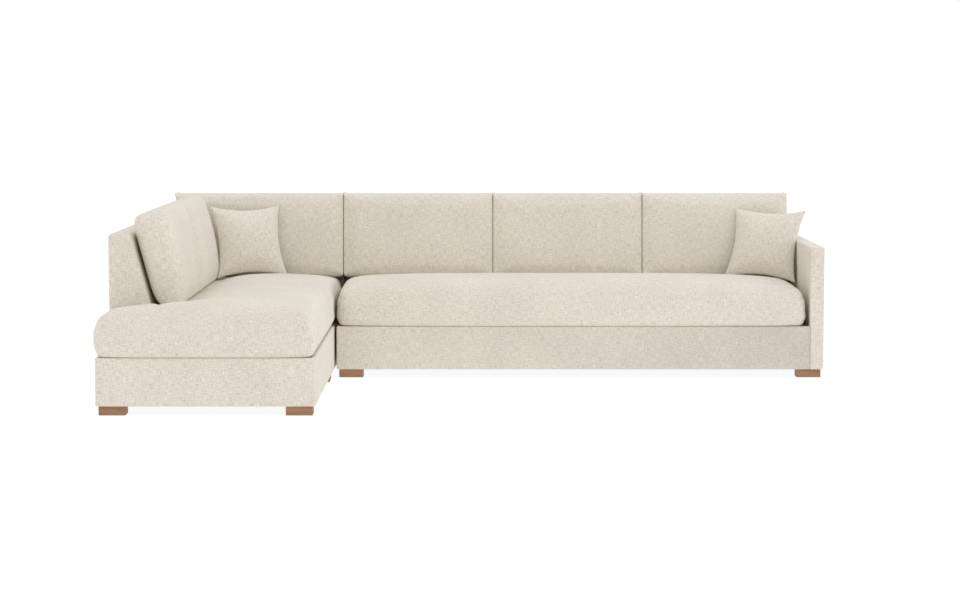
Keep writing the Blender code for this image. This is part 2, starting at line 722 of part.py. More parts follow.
def leaning_cushion(name, u_low, u_high, top, to_world, origin):
    """A boxed back cushion: flat below, drawn-in sides, a belly on both faces.

    to_world(u, depth, z) places a point, with depth measured from the cushion's middle plane.
    """
    low = Z_BACK_CUSHION_LOW
    radius = BACK_CUSHION_ROUNDING
    us = edge_lines(u_low, u_high, radius, BACK_CUSHION_SPACING)
    vs = edge_lines(low, top, radius, BACK_CUSHION_SPACING)
    filled = {(i, j) for i in range(len(us) - 1) for j in range(len(vs) - 1)}

    def drawn(u, v):
        place_u = 2 * (u - u_low) / (u_high - u_low) - 1
        place_v = 2 * (v - low) / (top - low) - 1
        for corner_u, out_u in ((u_low, -1), (u_high, 1)):
            u, v = round_corner(u, v, (corner_u, low), out_u, -1, BACK_CUSHION_CORNER)
        return u - BACK_CUSHION_DRAW * place_u * (1 - place_v ** 2), v

    def half_thickness(u, v, side):
        place_u = 2 * (u - u_low) / (u_high - u_low) - 1
        place_v = 2 * (v - low) / (top - low) - 1
        belly = BACK_CUSHION_FRONT_BELLY if side else BACK_CUSHION_REAR_BELLY
        belly *= (1 - abs(place_u) ** BELLY_POWER) * (1 - abs(place_v) ** BELLY_POWER)
        near_u = nearness(min(u - u_low, u_high - u), radius)
        near_v = nearness(min(v - low, top - v), radius)
        edge = BACK_CUSHION_LOWER_EDGE
        edge += (BACK_CUSHION_UPPER_EDGE - BACK_CUSHION_LOWER_EDGE) * (place_v + 1) / 2
        return edge / 2 + belly - BACK_CUSHION_EASING * rounded_drop(near_u, near_v)

    def surface(u, v, side):
        depth = half_thickness(u, v, side) * (1 if side else -1)
        return to_world(*drawn(u, v), depth)

    add_object(name, *padded_shape(us, vs, filled, surface, None), "fabric", origin)


def rear_cushion(name, x_low, x_high, left_slope=0.0):
    """A back cushion that stands on the seat and leans on the rear back."""
    plane = rear_back_face(Z_BACK_CUSHION_LOW, 0.0) - BACK_CUSHION_OFFSET

    def to_world(x, z, depth):
        above = z - Z_BACK_CUSHION_LOW
        flare = above * left_slope * (x_high - x) / (x_high - x_low)
        return (x - flare, plane + above * CUSHION_SLOPE - depth, z)

    origin = ((x_low + x_high) / 2, plane, Z_BACK_CUSHION_LOW)
    leaning_cushion(name, x_low, x_high, BACK_CUSHION_TOP, to_world, origin)


def side_cushion(name, y_low, y_high):
    """A cushion that stands on the bumper's seat and leans on its side back."""
    base_x = X_BUMPER_LEFT + back_thickness(Z_BACK_CUSHION_LOW) + BACK_CUSHION_OFFSET

    def to_world(y, z, depth):
        return (base_x - (z - Z_BACK_CUSHION_LOW) * CUSHION_SLOPE + depth, y, z)

    origin = (base_x, (y_low + y_high) / 2, Z_BACK_CUSHION_LOW)
    leaning_cushion(name, y_low, y_high, SIDE_CUSHION_TOP, to_world, origin)


def throw_pillow(name, x, rise, standoff, turn, roll):
    """A knife-edge pillow with drawn-in sides, leaning on a back cushion."""
    half = PILLOW_SIZE / 2
    lines = [-half + PILLOW_SIZE * share for share in PILLOW_SHARES]
    filled = {(i, j) for i in range(len(lines) - 1) for j in range(len(lines) - 1)}
    plane = rear_back_face(Z_BACK_CUSHION_LOW, 0.0) - BACK_CUSHION_OFFSET
    origin = Vector((x, plane + rise * CUSHION_SLOPE - standoff, SEAT_EDGE_HEIGHT + rise))
    turned = Matrix.Rotation(turn, 3, 'Z') @ Matrix.Rotation(-PILLOW_LEAN, 3, 'X')
    turned = turned @ Matrix.Rotation(roll, 3, 'Y')

    def surface(u, v, side):
        s, t = u / half, v / half
        thick = (1 - s * s) * (1 - t * t)
        depth = PILLOW_EDGE / 2 + (PILLOW_THICKNESS - PILLOW_EDGE) / 2 * thick ** PILLOW_POWER
        across = u - PILLOW_DRAW * s * (1 - t * t)
        up = v - PILLOW_DRAW * t * (1 - s * s)
        return origin + turned @ Vector((across, depth if side else -depth, up))

    add_object(name, *padded_shape(lines, lines, filled, surface, None), "fabric", origin)


def sofa_module():
    """The fixed module: base, arm, back, bench cushion and three back cushions."""
    inner_low, inner_high = base("sofa", X_SOFA_LEFT, X_ARM_INNER - SEATED, Y_SOFA_FRONT, False)
    middle = (inner_low[0] + inner_high[0]) / 2
    front, rear = inner_low[1] + RAIL + SEATED, inner_high[1] - RAIL - SEATED
    middle_rail("sofa_centre_rail", (middle - RAIL / 2, front), (middle + RAIL / 2, rear))
    springs("sofa_seat_springs", inner_low, inner_high, False)
    back_frame("sofa_back_frame", X_SOFA_LEFT, X_ARM_INNER - SEATED)
    back_cover("sofa_back_cover", X_SOFA_LEFT, X_ARM_INNER - SEATED)
    arm_parts()

    left = X_SOFA_LEFT + FOOT_INSET
    right = X_SOFA_RIGHT - FOOT_INSET - FOOT_LENGTH
    near = Y_SOFA_FRONT + FOOT_INSET
    far = Y_REAR - FOOT_INSET - FOOT_DEPTH
    add_foot("sofa_foot_front_left", left, near)
    add_foot("sofa_foot_front_right", right, near)
    add_foot("sofa_foot_rear_left", left, far)
    add_foot("sofa_foot_rear_right", right, far)
    add_foot("sofa_foot_centre", middle - FOOT_LENGTH / 2, (near + far) / 2)

    low = (X_SOFA_LEFT + SOFT_GAP + CUSHION_OVERHANG, Y_SOFA_FRONT)
    high = (X_ARM_INNER - SOFT_GAP - CUSHION_OVERHANG,
            rear_back_face(Z_SEAT_LOW, SOFT_GAP) - CUSHION_OVERHANG)
    bench = seat_cushion("bench_cushion", low, high, None, low[0])
    fill_seat_cushion(bench, "bench", low, high, None)

    width = (X_ARM_INNER - X_SEAM) / 3
    for k, place in enumerate(("left", "centre", "right")):
        start = X_SEAM + k * width
        rear_cushion(f"back_cushion_{place}", start + BACK_CUSHION_GAP, start + width - BACK_CUSHION_GAP)
    throw_pillow("throw_pillow_right", X_ARM_INNER - RIGHT_PILLOW_FROM_ARM, RIGHT_PILLOW_RISE,
                 RIGHT_PILLOW_STANDOFF, RIGHT_PILLOW_TURN, RIGHT_PILLOW_ROLL)


def bumper_module():
    """The module that hooks on at the left: chaise base, side back, L-shaped seat and its cushions."""
    inner_low, inner_high = base("bumper", X_BUMPER_LEFT, X_BUMPER_RIGHT, Y_BUMPER_FRONT, True)
    middle = (inner_low[1] + inner_high[1]) / 2
    left, right = inner_low[0] + RAIL + SEATED, inner_high[0] - RAIL - SEATED
    middle_rail("bumper_cross_rail", (left, middle - RAIL / 2), (right, middle + RAIL / 2))
    springs("bumper_seat_springs", inner_low, inner_high, True)
    back_frame("bumper_back_frame", X_BUMPER_LEFT, X_BUMPER_RIGHT)
    back_cover("bumper_back_cover", X_BUMPER_LEFT, X_BUMPER_RIGHT)
    side_frame()
    side_cover()

    near = Y_BUMPER_FRONT + FOOT_INSET
    halfway = Y_SOFA_FRONT - MIDDLE_FOOT_LEAD
    far = Y_REAR - FOOT_INSET - FOOT_DEPTH
    left_foot = X_BUMPER_LEFT + FOOT_INSET
    right_foot = X_BUMPER_RIGHT - FOOT_INSET
    for place, y_low, along_y in (("front", near, False), ("middle", halfway, True), ("rear", far, False)):
        width = FOOT_DEPTH if along_y else FOOT_LENGTH
        add_foot(f"bumper_foot_{place}_left", left_foot, y_low, along_y)
        add_foot(f"bumper_foot_{place}_right", right_foot - width, y_low, along_y)

    clear = SOFT_GAP + CUSHION_OVERHANG
    low = (X_BUMPER_LEFT, Y_BUMPER_FRONT)
    high = (X_BUMPER_RIGHT - clear, rear_back_face(Z_SEAT_LOW, SOFT_GAP) - CUSHION_OVERHANG)
    notch = (X_BUMPER_LEFT + back_thickness(Z_SEAT_LOW) + clear, Y_SIDE_FRONT - clear)
    crown_start = notch[0] + BACK_CUSHION_OFFSET + BACK_CUSHION_LOWER_EDGE / 2
    seat = seat_cushion("bumper_seat_cushion", low, high, notch, crown_start)
    fill_seat_cushion(seat, "bumper", low, high, notch)

    start = Y_SIDE_FRONT + SIDE_CUSHION_SETBACK
    for k, place in enumerate(("front", "rear")):
        y_low = start + k * (SIDE_CUSHION_LENGTH + 2 * BACK_CUSHION_GAP)
        side_cushion(f"side_cushion_{place}", y_low, y_low + SIDE_CUSHION_LENGTH)
    side_face = X_BUMPER_LEFT + back_thickness(Z_BACK_CUSHION_LOW)
    rear_cushion("bumper_back_cushion", side_face + SOFT_GAP, X_SEAM - BACK_CUSHION_GAP, LEAN_SLOPE)
    throw_pillow("throw_pillow_left", X_SEAM - LEFT_PILLOW_FROM_SEAM, LEFT_PILLOW_RISE,
                 LEFT_PILLOW_STANDOFF, LEFT_PILLOW_TURN, 0.0)


clear_scene()
MATERIALS = make_materials()
sofa_module()
bumper_module()
connectors()
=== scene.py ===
# %% [markdown]
# # A sectional sofa with a bumper chaise
#
# The real sofa is two upholstered modules that hook together, with loose cushions on top of them. The
# CAD frame holds every board, spring and cushion at its place and size, and says what moves. This
# lesson dresses that frame: each cover and cushion becomes a soft mesh, and each surface gets its
# finish. Everything is in metres, with +Z up and the front of the sofa towards -Y.

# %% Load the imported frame
import math

import bmesh
import bpy
import numpy as np
from mathutils import Matrix, Vector
from mathutils.bvhtree import BVHTree


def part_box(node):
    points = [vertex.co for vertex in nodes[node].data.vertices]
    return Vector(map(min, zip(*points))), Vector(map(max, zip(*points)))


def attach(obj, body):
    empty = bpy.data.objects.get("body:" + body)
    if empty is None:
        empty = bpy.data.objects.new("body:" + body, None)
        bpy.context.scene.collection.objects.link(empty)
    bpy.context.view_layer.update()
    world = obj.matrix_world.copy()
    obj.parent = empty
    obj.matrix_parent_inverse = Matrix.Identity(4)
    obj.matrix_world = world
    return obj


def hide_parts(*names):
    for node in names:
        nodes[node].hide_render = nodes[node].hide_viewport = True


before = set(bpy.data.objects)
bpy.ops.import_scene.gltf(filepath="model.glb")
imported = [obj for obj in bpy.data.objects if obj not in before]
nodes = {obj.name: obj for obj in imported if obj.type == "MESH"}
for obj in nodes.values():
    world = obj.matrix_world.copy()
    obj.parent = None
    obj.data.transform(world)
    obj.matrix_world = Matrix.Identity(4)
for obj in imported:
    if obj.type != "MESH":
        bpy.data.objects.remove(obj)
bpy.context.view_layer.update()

# %% [markdown]
# ## Camera
#
# The straight edges of the sofa gave the view: a long lens, level with the horizon but tilted down a
# little. A long lens far away keeps parallel edges nearly parallel, which is what makes a product
# picture calm. The focal length is worked out in pixels first, because edges are measured in pixels.

# %% Place the camera
PHOTO_WIDTH_PX = 960
FOCAL_LENGTH_PX = 2412
SENSOR_WIDTH_MM = 36.0
CAMERA_PLACE = (-0.0016, -10.472, 1.295)
CAMERA_TILT = math.radians(5.182)
CLIP_RANGE = (0.1, 200.0)


def add_object(name, data):
    """An object in the scene, at the origin."""
    obj = bpy.data.objects.new(name, data)
    bpy.context.scene.collection.objects.link(obj)
    return obj


def add_camera():
    """A level camera in front of the sofa, tilted down."""
    data = bpy.data.cameras.new("studio_camera")
    data.sensor_width = SENSOR_WIDTH_MM
    data.lens = FOCAL_LENGTH_PX * SENSOR_WIDTH_MM / PHOTO_WIDTH_PX
    data.clip_start, data.clip_end = CLIP_RANGE
    camera = add_object("studio_camera", data)
    camera.location = CAMERA_PLACE
    camera.rotation_euler = (math.pi / 2 - CAMERA_TILT, 0.0, 0.0)
    bpy.context.scene.camera = camera
    return camera


print("Lens:", round(add_camera().data.lens, 2), "mm")

# %% [markdown]
# ## Shader nodes in a few words
#
# Materials and Geometry Nodes are both graphs, and building them in code takes the same three steps
# each time: add a node, set its sockets, link it. A few small helpers do that, so that each material
# below reads as a recipe. A number goes to a socket as its default value, and another node's socket
# becomes a link.

# %% Helpers for node graphs


def feed(tree, node, inputs):
    """Set or link a node's inputs, by name or number."""
    for name, value in inputs.items():
        if isinstance(value, bpy.types.NodeSocket):
            tree.links.new(value, node.inputs[name])
        else:
            node.inputs[name].default_value = value
    return node


def add_node(tree, kind, inputs=None, **settings):
    """Add a node, set its properties, then feed its inputs. Returns its outputs."""
    node = tree.nodes.new(kind)
    for name, value in settings.items():
        setattr(node, name, value)
    return feed(tree, node, inputs or {}).outputs


def add_maths(tree, operation, *values, clamp=False):
    """A Math node on numbers or sockets. Returns its result."""
    return add_node(tree, "ShaderNodeMath", dict(enumerate(values)), operation=operation, use_clamp=clamp)[0]


def add_vector(tree, **parts):
    """A vector from its X, Y and Z."""
    return add_node(tree, "ShaderNodeCombineXYZ", parts)["Vector"]


def multiply_vector(tree, vector, scale):
    """A vector stretched by its own number along each axis."""
    return add_node(tree, "ShaderNodeVectorMath", {0: vector, 1: scale}, operation='MULTIPLY')[0]


def new_group(kind, name, inputs, outputs):
    """An empty node group with named sockets. Returns the tree, what it is given and its output node."""
    tree = bpy.data.node_groups.new(name, kind)
    for label, (socket_type, value) in inputs.items():
        socket = tree.interface.new_socket(label, in_out='INPUT', socket_type=socket_type)
        if value is not None:
            socket.default_value = value
    for label, socket_type in outputs.items():
        tree.interface.new_socket(label, in_out='OUTPUT', socket_type=socket_type)
    return tree, tree.nodes.new("NodeGroupInput").outputs, tree.nodes.new("NodeGroupOutput")


def new_material(name, roughness):
    """A material with a Principled shader. Returns the material, its tree and the shader."""
    material = bpy.data.materials.new(name)
    material.use_nodes = True
    shader = material.node_tree.nodes["Principled BSDF"]
    shader.inputs["Roughness"].default_value = roughness
    return material, material.node_tree, shader


# %% [markdown]
# ## Stage and light
#
# The picture is shot on a light table: the white floor glows, so that it throws light back up and
# keeps shadows faint. A white world gives even light from all round, and one large cool lamp, high on
# the right, makes the tops and the faces towards it a touch brighter. The plain colour transform
# keeps white paper-white.

# %% Light the stage
FLOOR_HALF = 30.0
FLOOR_COLOUR = (0.12, 0.12, 0.12, 1.0)
FLOOR_GLOW = 0.90
PAPER_ROUGHNESS = 0.9
SKY_COLOUR = (1.0, 1.0, 1.0, 1.0)
SKY_STRENGTH = 1.0
LAMP_SIZE = 9.0
LAMP_PLACE = (7.0, 0.2, 6.5)
LAMP_AIM = (0.0, 0.0, 0.4)
LAMP_COLOUR = (0.80, 0.92, 1.0)
LAMP_WATTS = 165.0


def light_stage():
    """A pale glowing floor, an even white sky and one soft lamp high on the right."""
    mesh = bpy.data.meshes.new("studio_floor")
    signs = ((-1, -1), (1, -1), (1, 1), (-1, 1))
    mesh.from_pydata([(x * FLOOR_HALF, y * FLOOR_HALF, 0) for x, y in signs], [], [(0, 1, 2, 3)])
    paper, tree, shader = new_material("studio_paper", PAPER_ROUGHNESS)
    feed(tree, shader, {"Base Color": FLOOR_COLOUR, "Emission Color": SKY_COLOUR,
                        "Emission Strength": FLOOR_GLOW})
    mesh.materials.append(paper)
    add_object("studio_floor", mesh)

    world = bpy.data.worlds.new("studio_sky")
    world.use_nodes = True
    tree = world.node_tree
    feed(tree, tree.nodes["Background"], {"Color": SKY_COLOUR, "Strength": SKY_STRENGTH})
    bpy.context.scene.world = world

    lamp = bpy.data.lights.new("side_lamp", 'AREA')
    lamp.shape, lamp.size, lamp.energy, lamp.color = 'SQUARE', LAMP_SIZE, LAMP_WATTS, LAMP_COLOUR
    holder = add_object("side_lamp", lamp)
    holder.location = LAMP_PLACE
    holder.rotation_euler = (Vector(LAMP_PLACE) - Vector(LAMP_AIM)).to_track_quat('Z', 'Y').to_euler()
    holder.visible_camera = False
    bpy.context.scene.view_settings.view_transform = 'Standard'


light_stage()
print("Lamp:", LAMP_WATTS, "W over", LAMP_SIZE, "m")

# %% [markdown]
# ## Linen, as a node group
#
# The cloth is a heathered plain weave: thick and thin yarns of slightly different creams cross over
# and under. From a few metres the single threads blur, and what stays visible are the slubs, long
# thick places in a yarn. So the group makes two sets of streaks, along the warp and along the weft,
# and lets them swap places in a chequer of threads. It is a group because the dust covers and the zip
# tapes use the same weave.

# %% Make the weave group
SLUB_WIDTH = 0.72
SLUB_LENGTH = 0.10
SLUB_NOISE = {"Scale": 1.0, "Detail": 3.0, "Roughness": 0.65}
SLUB_HEIGHT = 1.6
SHADE_NOISE = {"Scale": 4.0, "Detail": 2.0}
CROSSING_SHARPNESS = 1.5


def make_weave_group():
    """Tone, height and broad shade of a plain weave, over cloth coordinates in metres."""
    tree, given, made = new_group(
        "ShaderNodeTree", "plain_weave",
        {"Cloth": ("NodeSocketVector", None), "Thread": ("NodeSocketFloat", 0.002)},
        {"Tone": "NodeSocketFloat", "Height": "NodeSocketFloat", "Shade": "NodeSocketFloat"})

    def noise(vector, settings):
        inputs = {"Vector": vector, **settings}
        return add_node(tree, "ShaderNodeTexNoise", inputs, noise_dimensions='2D')["Fac"]

    thread = add_vector(tree, X=given["Thread"], Y=given["Thread"], Z=given["Thread"])
    threads = add_node(tree, "ShaderNodeVectorMath", {0: given["Cloth"], 1: thread}, operation='DIVIDE')[0]
    streaks = [noise(multiply_vector(tree, threads, scale), SLUB_NOISE)
               for scale in ((SLUB_WIDTH, SLUB_LENGTH, 1.0), (SLUB_LENGTH, SLUB_WIDTH, 1.0))]
    apart = add_node(tree, "ShaderNodeSeparateXYZ", {0: threads})
    waves = [add_maths(tree, 'SINE', add_maths(tree, 'MULTIPLY', apart[axis], math.pi)) for axis in (0, 1)]
    ridges = [add_maths(tree, 'ABSOLUTE', wave) for wave in waves]
    crossing = add_maths(tree, 'MULTIPLY', *waves)
    over = add_maths(tree, 'MULTIPLY_ADD', crossing, CROSSING_SHARPNESS, 0.5, clamp=True)
    tone, ridge = (add_node(tree, "ShaderNodeMix", {0: over, 2: warp, 3: weft}, data_type='FLOAT')[0]
                   for warp, weft in (streaks, ridges))
    feed(tree, made, {"Tone": tone, "Height": add_maths(tree, 'MULTIPLY_ADD', tone, SLUB_HEIGHT, ridge),
                      "Shade": noise(given["Cloth"], SHADE_NOISE)})
    return tree


weave_group = make_weave_group()
print("Weave sockets:", [socket.name for socket in weave_group.interface.items_tree])

# %% [markdown]
# ## Cloth materials from the weave
#
# One recipe makes every cloth here: the weave's tone picks a colour between a dark, a middle and a
# light yarn, its height feeds a Bump node, and a little sheen catches light at grazing angles, as
# fine fibres do. The cloth coordinates come from each piece's own UV map, so the threads turn with
# the piece.

# %% Make the cloth materials
CLOTH_MAP = "cloth"
CLOTH_ROUGHNESS = 0.92
YARN_SPREAD = 0.15
PLAIN_GROUND = 0.035
WEAVE_RELIEF = 0.0006
WEAVE_STRENGTH = 0.6
SHADE_STOPS = [(0.3, (0.95, 0.95, 0.95)), (0.7, (1.0, 1.0, 1.0))]
SHEEN = {"Sheen Weight": 0.15, "Sheen Roughness": 0.5}


def ramp(tree, factor, stops):
    """A colour ramp through (position, colour) stops. Returns its colour socket."""
    outputs = add_node(tree, "ShaderNodeValToRGB", {"Fac": factor})
    elements = outputs["Color"].node.color_ramp.elements
    while len(elements) < len(stops):
        elements.new(0.5)
    for element, (place, colour) in zip(elements, stops):
        element.position = place
        element.color = (*colour, 1.0)
    return outputs["Color"]


def colour_and_relief(tree, shader, colour, height, relief, strength=1.0):
    """Give a shader its colour, and its relief from a height."""
    bump = add_node(tree, "ShaderNodeBump", {"Height": height, "Distance": relief, "Strength": strength})
    feed(tree, shader, {"Base Color": colour, "Normal": bump["Normal"]})


def make_cloth(name, thread, yarns):
    """A woven cloth of dark, middle and light yarns. The middle one fills the ground between slubs."""
    material, tree, shader = new_material(name, CLOTH_ROUGHNESS)
    cloth = add_node(tree, "ShaderNodeUVMap", uv_map=CLOTH_MAP)["UV"]
    weave = add_node(tree, "ShaderNodeGroup", {"Cloth": cloth, "Thread": thread}, node_tree=weave_group)
    places = (0.5 - YARN_SPREAD, 0.5 - PLAIN_GROUND, 0.5 + PLAIN_GROUND, 0.5 + YARN_SPREAD)
    dark, middle, light = yarns
    colour = ramp(tree, weave["Tone"], list(zip(places, (dark, middle, middle, light))))
    shade = ramp(tree, weave["Shade"], SHADE_STOPS)
    shaded = add_node(tree, "ShaderNodeMix", {"Factor": 1.0, "A": colour, "B": shade},
                      data_type='RGBA', blend_type='MULTIPLY')["Result"]
    colour_and_relief(tree, shader, shaded, weave["Height"], WEAVE_RELIEF, WEAVE_STRENGTH)
    feed(tree, shader, SHEEN)
    return material


linen = make_cloth("oatmeal_linen", 0.0026, [(0.59, 0.525, 0.44), (0.762, 0.694, 0.598), (0.90, 0.85, 0.77)])
deck_cloth = make_cloth("deck_cloth", 0.0012, [(0.16, 0.15, 0.14), (0.22, 0.21, 0.20), (0.30, 0.29, 0.27)])
print("Cloths:", linen.name, deck_cloth.name)

# %% [markdown]
# ## Padded forms on a lattice
#
# Every soft piece starts as a block of cells, like a box cut from squared paper. Its outer squares
# become quads of nearly equal size, which is what a cloth simulation needs, and each corner keeps its
# lattice numbers. A formula then moves each corner to its real place. The same few lines serve square
# and L-shaped cushions.

# %% Build the lattice helpers
ROUND_TURNS = 5


def skin_of_block(filled, layers):
    """Quads over a block of cells. Returns the corners' lattice numbers, the quads and the ways out."""
    cells = np.argwhere(filled)
    i, j = cells.T
    quads = []

    def add(*ring):
        quads.append(np.stack([np.stack(np.broadcast_arrays(*corner), -1) for corner in ring], 1))

    add((i, j, layers), (i + 1, j, layers), (i + 1, j + 1, layers), (i, j + 1, layers))
    add((i, j, 0), (i, j + 1, 0), (i + 1, j + 1, 0), (i + 1, j, 0))
    around = np.pad(filled, 1)
    ways = np.zeros((filled.shape[0] + 1, filled.shape[1] + 1, 2))
    turns = [(0, 0), (1, 0), (1, 1), (0, 1), (0, 0)]
    for out, start, end in zip(((0, -1), (1, 0), (0, 1), (-1, 0)), turns, turns[1:]):
        ci, cj = cells[~around[i + 1 + out[0], j + 1 + out[1]]].T
        (a, b), (c, d) = ((ci + di, cj + dj) for di, dj in (start, end))
        np.add.at(ways, (a, b), out)
        np.add.at(ways, (c, d), out)
        for k in range(layers):
            add((a, b, k), (c, d, k), (c, d, k + 1), (a, b, k + 1))
    quads = np.concatenate(quads)
    keys, index = np.unique(quads.reshape(-1, 3), axis=0, return_inverse=True)
    way = ways[keys[:, 0], keys[:, 1]]
    length = np.linalg.norm(way, axis=1, keepdims=True)
    return keys, index.reshape(-1, 4), way / np.maximum(length, 1e-9)


def full_block(columns, rows, layers):
    """The skin of a block with no cell left out."""
    return skin_of_block(np.ones((columns, rows), bool), layers)


def round_lines(low, high, radius, spacing, turns=ROUND_TURNS):
    """Grid lines across a padded form: even steps round each edge, and even steps between them."""
    arc = radius * (1 - np.cos(np.linspace(0, math.pi / 2, turns + 1)))
    count = max(1, round((high - low - 2 * radius) / spacing))
    middle = np.linspace(low + radius, high - radius, count + 1)
    return np.concatenate([low + arc[:-1], middle, (high - arc[:-1])[::-1]])


def new_piece(name, points, quads, material):
    """A smooth mesh object at the origin, in one material."""
    mesh = bpy.data.meshes.new(name)
    mesh.from_pydata([tuple(p) for p in points], [], [tuple(q) for q in quads])
    mesh.validate()
    mesh.shade_smooth()
    mesh.materials.append(material)
    return add_object(name, mesh)


def bake_modifiers(obj):
    """Replace an object's mesh with what its modifiers make of it."""
    evaluated = obj.evaluated_get(bpy.context.evaluated_depsgraph_get())
    mesh = bpy.data.meshes.new_from_object(evaluated)
    obj.modifiers.clear()
    old, obj.data = obj.data, mesh
    bpy.data.meshes.remove(old)
    mesh.name = obj.name


def read(rows, attribute, width=1, kind=np.float32):
    """One attribute of all of a mesh's points, faces or corners."""
    values = np.empty(len(rows) * width, kind)
    rows.foreach_get(attribute, values)
    return values.reshape(-1, width) if width > 1 else values


def positions(obj):
    """A mesh's points as rows of x, y, z."""
    return read(obj.data.vertices, "co", 3).astype(float)


def set_positions(obj, points):
    """Move a mesh's points."""
    obj.data.vertices.foreach_set("co", np.asarray(points, np.float32).ravel())
    obj.data.update()


keys, quads, _ = full_block(2, 2, 1)
print("A 2 by 2 by 1 block has", len(keys), "corners and", len(quads), "quads")

# %% [markdown]
# ## Cloth coordinates
#
# An upholsterer cuts cloth in flat panels: one wraps from the front over the top, and one closes each
# side. The UV map copies that. Faces that look sideways get a side panel, and the rest share one long
# panel whose second coordinate runs up the front and on over the top, so that the weave doesn't break
# at that edge. Faces that look back or down turn the panel's direction, so that the weave isn't drawn
# out round a lower edge.

# %% Lay the cloth on a piece
BEHIND = -0.5
BELOW = -0.35


def lay_cloth(obj, across=(1, 0, 0), out=(0, -1, 0)):
    """Write the cloth map in metres: a front-and-top panel and two side panels."""
    mesh = obj.data
    axes = np.array([across, out, (0, 0, 1)], float).T
    sizes = read(mesh.polygons, "loop_total", kind=np.int32)
    side, front, top = (read(mesh.polygons, "normal", 3) @ axes).T
    u, w, v = (positions(obj)[read(mesh.loops, "vertex_index", kind=np.int32)] @ axes).T
    tests = (np.abs(side) > np.maximum(np.abs(front), np.abs(top)), front < BEHIND, top < BELOW)
    sideways, behind, below = (np.repeat(test, sizes) for test in tests)
    wrapped = np.where(behind, -v, v) + np.where(below, w, -w)
    cloth = np.stack([np.where(sideways, w, u), np.where(sideways, v, wrapped)], 1)
    mesh.uv_layers.new(name=CLOTH_MAP).data.foreach_set("uv", cloth.astype(np.float32).ravel())


# %% [markdown]
# ## Puffing a cushion up
#
# A cloth simulation with air pressure inside makes the panels swell between seams that hold still.
# Gravity is off, because the foam carries the cloth, and the move of each point is capped, so that a
# cushion stays in the room that its CAD solid keeps for it.

# %% Simulate a filled cover
PUFF_STEPS = 20
PRESSURE = 4.0


def puff(obj, held, cap):
    """Swell a closed cover by cloth simulation, with the held points pinned and every move capped."""
    start = positions(obj)
    pins = obj.vertex_groups.new(name="held")
    pins.add(np.flatnonzero(held).tolist(), 1.0, 'REPLACE')
    cloth = obj.modifiers.new("cloth", 'CLOTH')
    settings = cloth.settings
    settings.use_pressure = True
    settings.uniform_pressure_force = PRESSURE
    settings.effector_weights.gravity = 0.0
    settings.vertex_group_mass = "held"
    cloth.point_cache.frame_start, cloth.point_cache.frame_end = 1, PUFF_STEPS
    scene = bpy.context.scene
    for step in range(1, PUFF_STEPS + 1):
        scene.frame_set(step)
    moved = positions(obj.evaluated_get(bpy.context.evaluated_depsgraph_get())) - start
    far = np.linalg.norm(moved, axis=1, keepdims=True)
    obj.modifiers.remove(cloth)
    obj.vertex_groups.remove(pins)
    set_positions(obj, start + moved * np.minimum(1.0, cap / np.maximum(far, 1e-9)))
    scene.frame_set(1)
    print(f"{obj.name}: cloth moved {far.mean() * 1000:.1f} mm on average, {far.max() * 1000:.1f} mm at most")


def subdivide(obj):
    """One level of smoothing subdivision, baked in."""
    modifier = obj.modifiers.new("subdivision", 'SUBSURF')
    modifier.levels = modifier.render_levels = 1
    bake_modifiers(obj)


def dress(obj, body, slot, *replaced):
    """Fix a finished piece to its body and hide the CAD nodes that it stands for; the finish named in slot is
    not used.
    """
    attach(obj, body)
    if replaced:
        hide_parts(*replaced)
    return obj


# %% [markdown]
# ## Rows of small things, with Geometry Nodes
#
# Stitches, staples and zip teeth all do the same: one small shape repeats at even steps along a path.
# One kind of Geometry Nodes tree does that. It turns a path of edges into a curve, cuts the curve
# into even steps, sets a copy of the shape on each step with its X along the path, and makes the
# copies real, because an exported model keeps no instances. Only the small shape differs, so each
# kind of row has its own few nodes for that.

# %% Build the row tree


def make_row_tree(name, pitch, sizes, make_shape):
    """A tree that sets one shape on each even step of every path, with named inputs for its sizes."""
    tree, given, made = new_group(
        "GeometryNodeTree", name,
        {"Paths": ("NodeSocketGeometry", None), "Finish": ("NodeSocketMaterial", None),
         **{label: ("NodeSocketFloat", size) for label, size in {"Pitch": pitch, **sizes}.items()}},
        {"Row": "NodeSocketGeometry"})
    curve = add_node(tree, "GeometryNodeMeshToCurve", {"Mesh": given["Paths"]})["Curve"]
    steps = add_node(tree, "GeometryNodeResampleCurve", {"Curve": curve, "Length": given["Pitch"]},
                     mode='LENGTH')["Curve"]
    along = add_node(tree, "GeometryNodeInputTangent")["Tangent"]
    turn = add_node(tree, "FunctionNodeAlignRotationToVector", {"Vector": along}, axis='X')["Rotation"]
    copies = add_node(tree, "GeometryNodeInstanceOnPoints",
                      {"Points": steps, "Instance": make_shape(tree, given), "Rotation": turn})["Instances"]
    real = add_node(tree, "GeometryNodeRealizeInstances", {"Geometry": copies})["Geometry"]
    row = add_node(tree, "GeometryNodeSetMaterial", {"Geometry": real, "Material": given["Finish"]})
    feed(tree, made, {"Row": row["Geometry"]})
    return tree


def lay_rows(name, tree, paths, finish):
    """Run a row tree along paths of points, and bake what it makes."""
    points = [tuple(point) for line in paths for point in line]
    starts = np.cumsum([0] + [len(line) for line in paths])
    edges = [(k, k + 1) for first, last in zip(starts[:-1], starts[1:]) for k in range(first, last - 1)]
    mesh = bpy.data.meshes.new(name)
    mesh.from_pydata(points, edges, [])
    row = add_object(name, mesh)
    modifier = row.modifiers.new("row", 'NODES')
    modifier.node_group = tree
    sockets = {item.name: item.identifier for item in tree.interface.items_tree if item.in_out == 'INPUT'}
    modifier[sockets["Finish"]] = finish
    bake_modifiers(row)
    row.data.materials.clear()
    row.data.materials.append(finish)
    row.data.polygons.foreach_set("material_index", np.zeros(len(row.data.polygons), np.int32))
    return row


